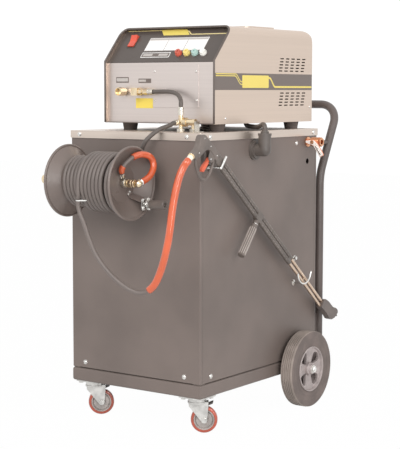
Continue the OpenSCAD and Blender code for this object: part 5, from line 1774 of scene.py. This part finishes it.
# ---------------------------------------------------------------- reel
@dataclass
class ReelFittings:
    """Swivel and elbow in the drum's dish, the crank arm with its bolts, and the knob."""

    node: str = "reel_fittings"
    elbow_x: float = 150.0

    def part(self, name: str, profile: Outline, look: str, steps: int = 48, place: Point = (0, 0, 0),
             axis: Vector = X_AXIS) -> None:
        """One turned or six-sided piece on the drum, at a place given from the reel's middle."""
        turned(profile, REEL.at(*place), name, self.node, steps, axis, look=look)

    def swivel(self, rings: Tree) -> None:
        """Knurled union, brass body, hexagon and elbow up to the link hose.

        Args:
            rings: tree that repeats a shape round the axle.
        """
        self.part("union_nut", [
            (75.6, 0), (75.6, 14.6), (77.4, 16), (93, 16), (95, 14.6), (95, 0)], "ferrule_steel")
        ridge = moulding(REEL, block(78.5, -0.75, 92, 0.75), 15.7, 16.9, 0.0, 0.3)
        values = {"Count": 40, "Centre": REEL.at(0, 0, 0)}
        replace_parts(grow(rings, ridge, values, "union_knurl", "ferrule_steel", "drum"), self.node)
        self.part("swivel_body", [
            (95, 0), (95, 12), (101, 12), (102, 14.4), (106, 14.4), (107, 12.4), (125, 12.4), (126, 14.4),
            (130, 15), (134, 14.4), (135, 12.4), (139, 12.4), (139, 0)], "brass")
        self.part("swivel_hex", [
            (107.6, 0), (107.6, 15.2), (108.8, 16.2), (123.2, 16.2), (124.4, 15.2), (124.4, 0)],
                  "brass", 6)
        elbow = bmesh.new()
        bmesh.ops.create_uvsphere(elbow, u_segments=32, v_segments=20, radius=14 * MM,
                                  matrix=Matrix.Translation(REEL.at(self.elbow_x, 0, 0)))
        stand_in(elbow, "swivel_elbow", self.node, look="brass")
        self.part("elbow_collar", [
            (0, 0), (0, 11.4), (11.5, 11.4), (12, 13), (13.4, 13.6), (15.2, 13.6), (16, 12.8), (16, 0)],
            "chrome", 40, (self.elbow_x, 0, 0), Vector((0, 13, 4)).normalized())
        link_end = Vector((90.5, -17, 34))
        end = link_end + 10 * (link_end - Vector((92, -20, 38))).normalized()
        self.part("inlet_nut", [
            (75.8, 0), (75.8, 10.2), (77, 11.2), (86, 11.2), (87, 10.2), (87, 0)], "chrome", 6,
                  (0, end.y, end.z))
        inlet = row([(78, end.y, end.z), (end.x - 3, end.y, end.z), tuple(end), (90.6, -17.5, 35)], REEL)
        tube(smooth_route(inlet, 6), 8.4, "inlet_bend", self.node, 24, look="ferrule_steel")

    def crank(self, fasteners: Fasteners) -> None:
        """Arm from the shaft to the rim, the bolted foot of the stud, the stud and the knob.

        Args:
            fasteners: where its bolts come from.
        """
        arm = [
            (75.6, 38), (75.6, 66), (122, 90), (122, 122), (125.5, 122), (125.5, 88.6), (79.1, 64.6),
            (79.1, 38)]
        stand_in(moulding(CRANK, arm, -12, 12, 0.5, 0.5), "crank_arm", self.node, look="dark_paint")
        foot = rounded([(46, -100), (96, -100), (96, -56), (46, -56)], 8)
        stand_in(moulding(facing_side(REEL.origin), foot, 125.6, 128.6, 0.3, 0.8), "crank_foot", self.node,
                 look="zinc")
        cos, sin = math.cos(CRANK_TURN), math.sin(CRANK_TURN)
        stud_bolts = [(128.6, y, z) for y, z in ((54, -64), (89, -63), (56, -92), (88, -93))]
        arm_bolts = [(79.1, 52 * cos - o * sin, 52 * sin + o * cos) for o in (-6, 6)]
        for name, places, size in (("crank_bolts", stud_bolts, 1.5), ("arm_bolts", arm_bolts, 0.8)):
            at = [(point, X_AXIS) for point in row(places, REEL)]
            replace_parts(fasteners.set_out(name, Head.HEX, at, size, "drum", "chrome"), self.node)
        self.part("crank_stud", [
            (125.5, 0), (125.5, 10.5), (127, 12), (134, 12), (135.5, 10.5), (136, 9), (144.5, 9), (144.5, 5),
            (205, 5), (205, 0)], "chrome", 40, (0, 75, -78))
        knob = [
            (145.2, 5.3), (145.2, 13), (146.6, 14.6), (150, 15.2), (204, 16.2), (211, 16.0), (213.4, 14.8),
            (213.4, 9.4), (212.4, 8.8), (204, 8.4), (204, 5.3)]
        turned(knob, REEL.at(0, 75, -78), "knob_grip", "crank_knob", 56, smooth=40.0)


# ---------------------------------------------------------------- head and panels
@dataclass
class Badges:
    """Plain plates, stripes and stickers on the head, with nothing written on them."""

    slot: str = "stainless_hood"

    def badge(self, name: str, plane: Plane, outline: Outline, look: str, *shape: float) -> None:
        """One plate; its shape is the lower and upper height and, for some, the bevel."""
        settle(plate_mesh(plane, outline, *shape), name, self.slot, "root", 20.0, look)

    def side(self) -> None:
        """Dark band with the badge and yellow lines along the hood's right side."""
        self.badge("band_side", HEAD_SIDE, block(152, 1269, 845, 1332), "band_dark", 0.0, 0.25)
        plate = rounded(block(335, 1277, 519, 1325), 5)
        self.badge("badge_side", HEAD_SIDE, plate, "badge_yellow", 0.2, 1.1, 0.5)
        for name, line, width in (("upper", [(159, 1329)] + swoosh((285, 1329), (334, 1300)), 3.4),
                                  ("lower", [(159, 1322)] + swoosh((278, 1322), (334, 1290)), 3.4),
                                  ("rear", swoosh((520, 1316), (572, 1281)) + [(842, 1281)], 7.0)):
            self.badge("line_side_" + name, HEAD_SIDE, strip(line, width), "badge_yellow", 0.2, 0.45)

    def front(self) -> None:
        """Labels on the head's front, and the slanted panel's sheet, label, badge and lines."""
        fields = (
            ("label_valve", HEAD_FRONT, (-216, 1296, -154, 1318), 1.5, "band_dark", 0.0, 0.5),
            ("label_valve_field", HEAD_FRONT, (-213, 1301, -157, 1314), 0, "print_grey", 0.45, 0.56),
            ("label_outlet", HEAD_FRONT, (-106, 1295, -45, 1312), 1.5, "band_dark", 0.0, 0.5),
            ("label_outlet_field", HEAD_FRONT, (-103, 1300, -70, 1308), 0, "print_grey", 0.45, 0.56),
            ("sticker_front", HEAD_FRONT, (-119, 1199, -36, 1237), 2, "sticker_yellow", 0.0, 0.25),
            ("sheet_white", SLANT_FACE, (-110, 59, 170, 127), 2, "sheet_white", 0.0, 0.3),
            ("sheet_header", SLANT_FACE, (-108, 115, 168, 125), 0, "print_grey", 0.28, 0.36),
            ("sheet_rule_0", SLANT_FACE, (-17.7, 61, -16.3, 115), 0, "band_dark", 0.28, 0.36),
            ("sheet_rule_1", SLANT_FACE, (75.3, 61, 76.7, 115), 0, "band_dark", 0.28, 0.36),
            ("sheet_foot", SLANT_FACE, (-108, 59.4, 168, 61), 0, "band_dark", 0.28, 0.36),
            ("label_panel", SLANT_FACE, (-111, 25, 25, 51), 2, "sheet_white", 0.0, 0.3),
            ("label_panel_field", SLANT_FACE, (-108.5, 28, 22.5, 48), 1.5, "band_dark", 0.28, 0.36),
            ("label_panel_bar_0", SLANT_FACE, (-103, 33, -58, 44), 0, "print_grey", 0.34, 0.42),
            ("label_panel_bar_1", SLANT_FACE, (-28, 33, 15, 44), 0, "print_grey", 0.34, 0.42))
        for name, plane, corners, corner, look, *shape in fields:
            outline = block(*corners)
            self.badge(name, plane, rounded(outline, corner) if corner else outline, look, *shape)
        plate = rounded([(-55, 140), (69, 140), (44, 170), (-79, 170)], 4)
        self.badge("badge_front", SLANT_FACE, plate, "badge_yellow", 0.2, 1.1, 0.5)
        for name, line in (("left", [(-244, 167), (-74, 167)]),
                           ("right", swoosh((50, 160), (82, 143)) + [(238, 143)])):
            self.badge("line_front_" + name, SLANT_FACE, strip(line, 4.0), "line_cream", 0.1, 0.4)


@dataclass
class SheetScrews:
    """Screws of the head's plates, the panels and the lid's rim."""

    fasteners: Fasteners
    overhang: float = 4.0
    low_z: float = 217.0

    def head(self) -> None:
        """Pan heads of the access plate and the hood."""
        plate = [(HEAD_FRONT.at(x, z, 1.6), HEAD_FRONT.normal()) for x, z in (
            (-27, 1339), (168, 1338), (170, 1230), (-27, 1228))]
        side = [(HEAD_SIDE.at(y, z), HEAD_SIDE.normal()) for y, z in ((830, 1201), (224, 1163))]
        self.fasteners.set_out("access_plate_screws", Head.PAN, plate, 0.9)
        self.fasteners.set_out("hood_side_screws", Head.PAN, side, 1.0)

    def panels(self) -> None:
        """Dome heads with washers on the panels and the lid's rim."""
        front, back = Vector((0, -1, 0)), Vector((0, 1, 0))
        places = [(MAIN.at(x, -1.2 - self.overhang, 1100), front) for x in (-261, 247)]
        places += [(MAIN.at(x, -1.2, self.low_z), front) for x in (-242, 233)]
        places += [(MAIN.at(x, 816.2, self.low_z), back) for x in (-240, 240)]
        for side in (-1, 1):
            places += [(MAIN.at(side * (306.2 + out), y, z), Vector((side, 0, 0))) for out, y, z in (
                (self.overhang, 56, 1099), (self.overhang, 780, 1099), (0, 68, self.low_z), (0, 657, 1059))]
        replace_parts(self.fasteners.set_out("panel_dome_screws", Head.DOME, places, 1.5), "panel_screws")


@dataclass
class HoodTrim:
    """Dark edging round the hood's open front, and a lining inside its left wall."""

    edge_x: float = 259.2
    edge_y: float = 149.2
    shoulder_z: float = 1379.0
    top_z: float = 1507.2
    corner: float = 29.0

    def build(self) -> None:
        """Makes the lining and the edging, which is one line over the hood."""
        shape = [(148, 1143), (164.5, 1143), (164.5, self.shoulder_z), (148, self.shoulder_z)]
        lining = moulding(facing_side((-259.6, 0, 0)), shape, 0.0, 1.4, 0.0, 0.3)
        settle(lining, "hood_lining", "stainless_hood", "root", 30.0, "edge_dark")
        right = [(self.edge_x, self.edge_y, 1143.5), (self.edge_x, self.edge_y, self.shoulder_z)]
        for a in (math.radians(90 * step / 8) for step in range(9)):
            z = self.top_z - self.corner + self.corner * math.sin(a)
            right.append((self.edge_x - self.corner + self.corner * math.cos(a),
                          149.4 + (z - self.shoulder_z) * 115 / 129, z))
        path = row(right + [(-x, y, z) for x, y, z in right[::-1]])
        fine = [a.lerp(b, t / 4) for a, b in zip(path, path[1:]) for t in range(4)] + [path[-1]]
        settle(tube_mesh(fine, 4.0, 10), "hood_edge", "stainless_hood", "root", 60.0, "edge_dark", False)


# ---------------------------------------------------------------- everything carried over
def dress_nodes() -> None:
    """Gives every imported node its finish."""
    slots = sorted({entry["slot"] for entry in frame["record"]["materials"]})
    for name, node in frame["nodes"].items():
        for holder in node.material_slots:
            label = holder.material.name.split(".")[0] if holder.material else ""
            if label not in slots:
                label = next((s for s in slots if s in label), "dark_paint")
            holder.material = NODE_FINISHES[name].material(name) if name in NODE_FINISHES else finish(label)
        log.info("dressed %s", name)


def main() -> None:
    """Builds the camera, the hoses and then every other piece."""
    studio = Studio()
    studio.camera()
    Hoses().build()
    studio.build()
    dress_nodes()
    fasteners = Fasteners()
    for side in (-1, 1):
        RearWheel(side).build()
    Axle().build()
    for side, trail in ((-1, 40.0), (1, 34.0)):
        CastorWheel(side, trail).build()
    Gun().build(fasteners)
    lance = Lance()
    lance.sleeves()
    lance.handle()
    PushHandle().build()
    ValveLever().build()
    fittings = ReelFittings()
    fittings.swivel(ring_tree())
    fittings.crank(fasteners)
    badges = Badges()
    badges.side()
    badges.front()
    screws = SheetScrews(fasteners)
    screws.head()
    screws.panels()
    HoodTrim().build()


if __name__ == "__main__":
    main()
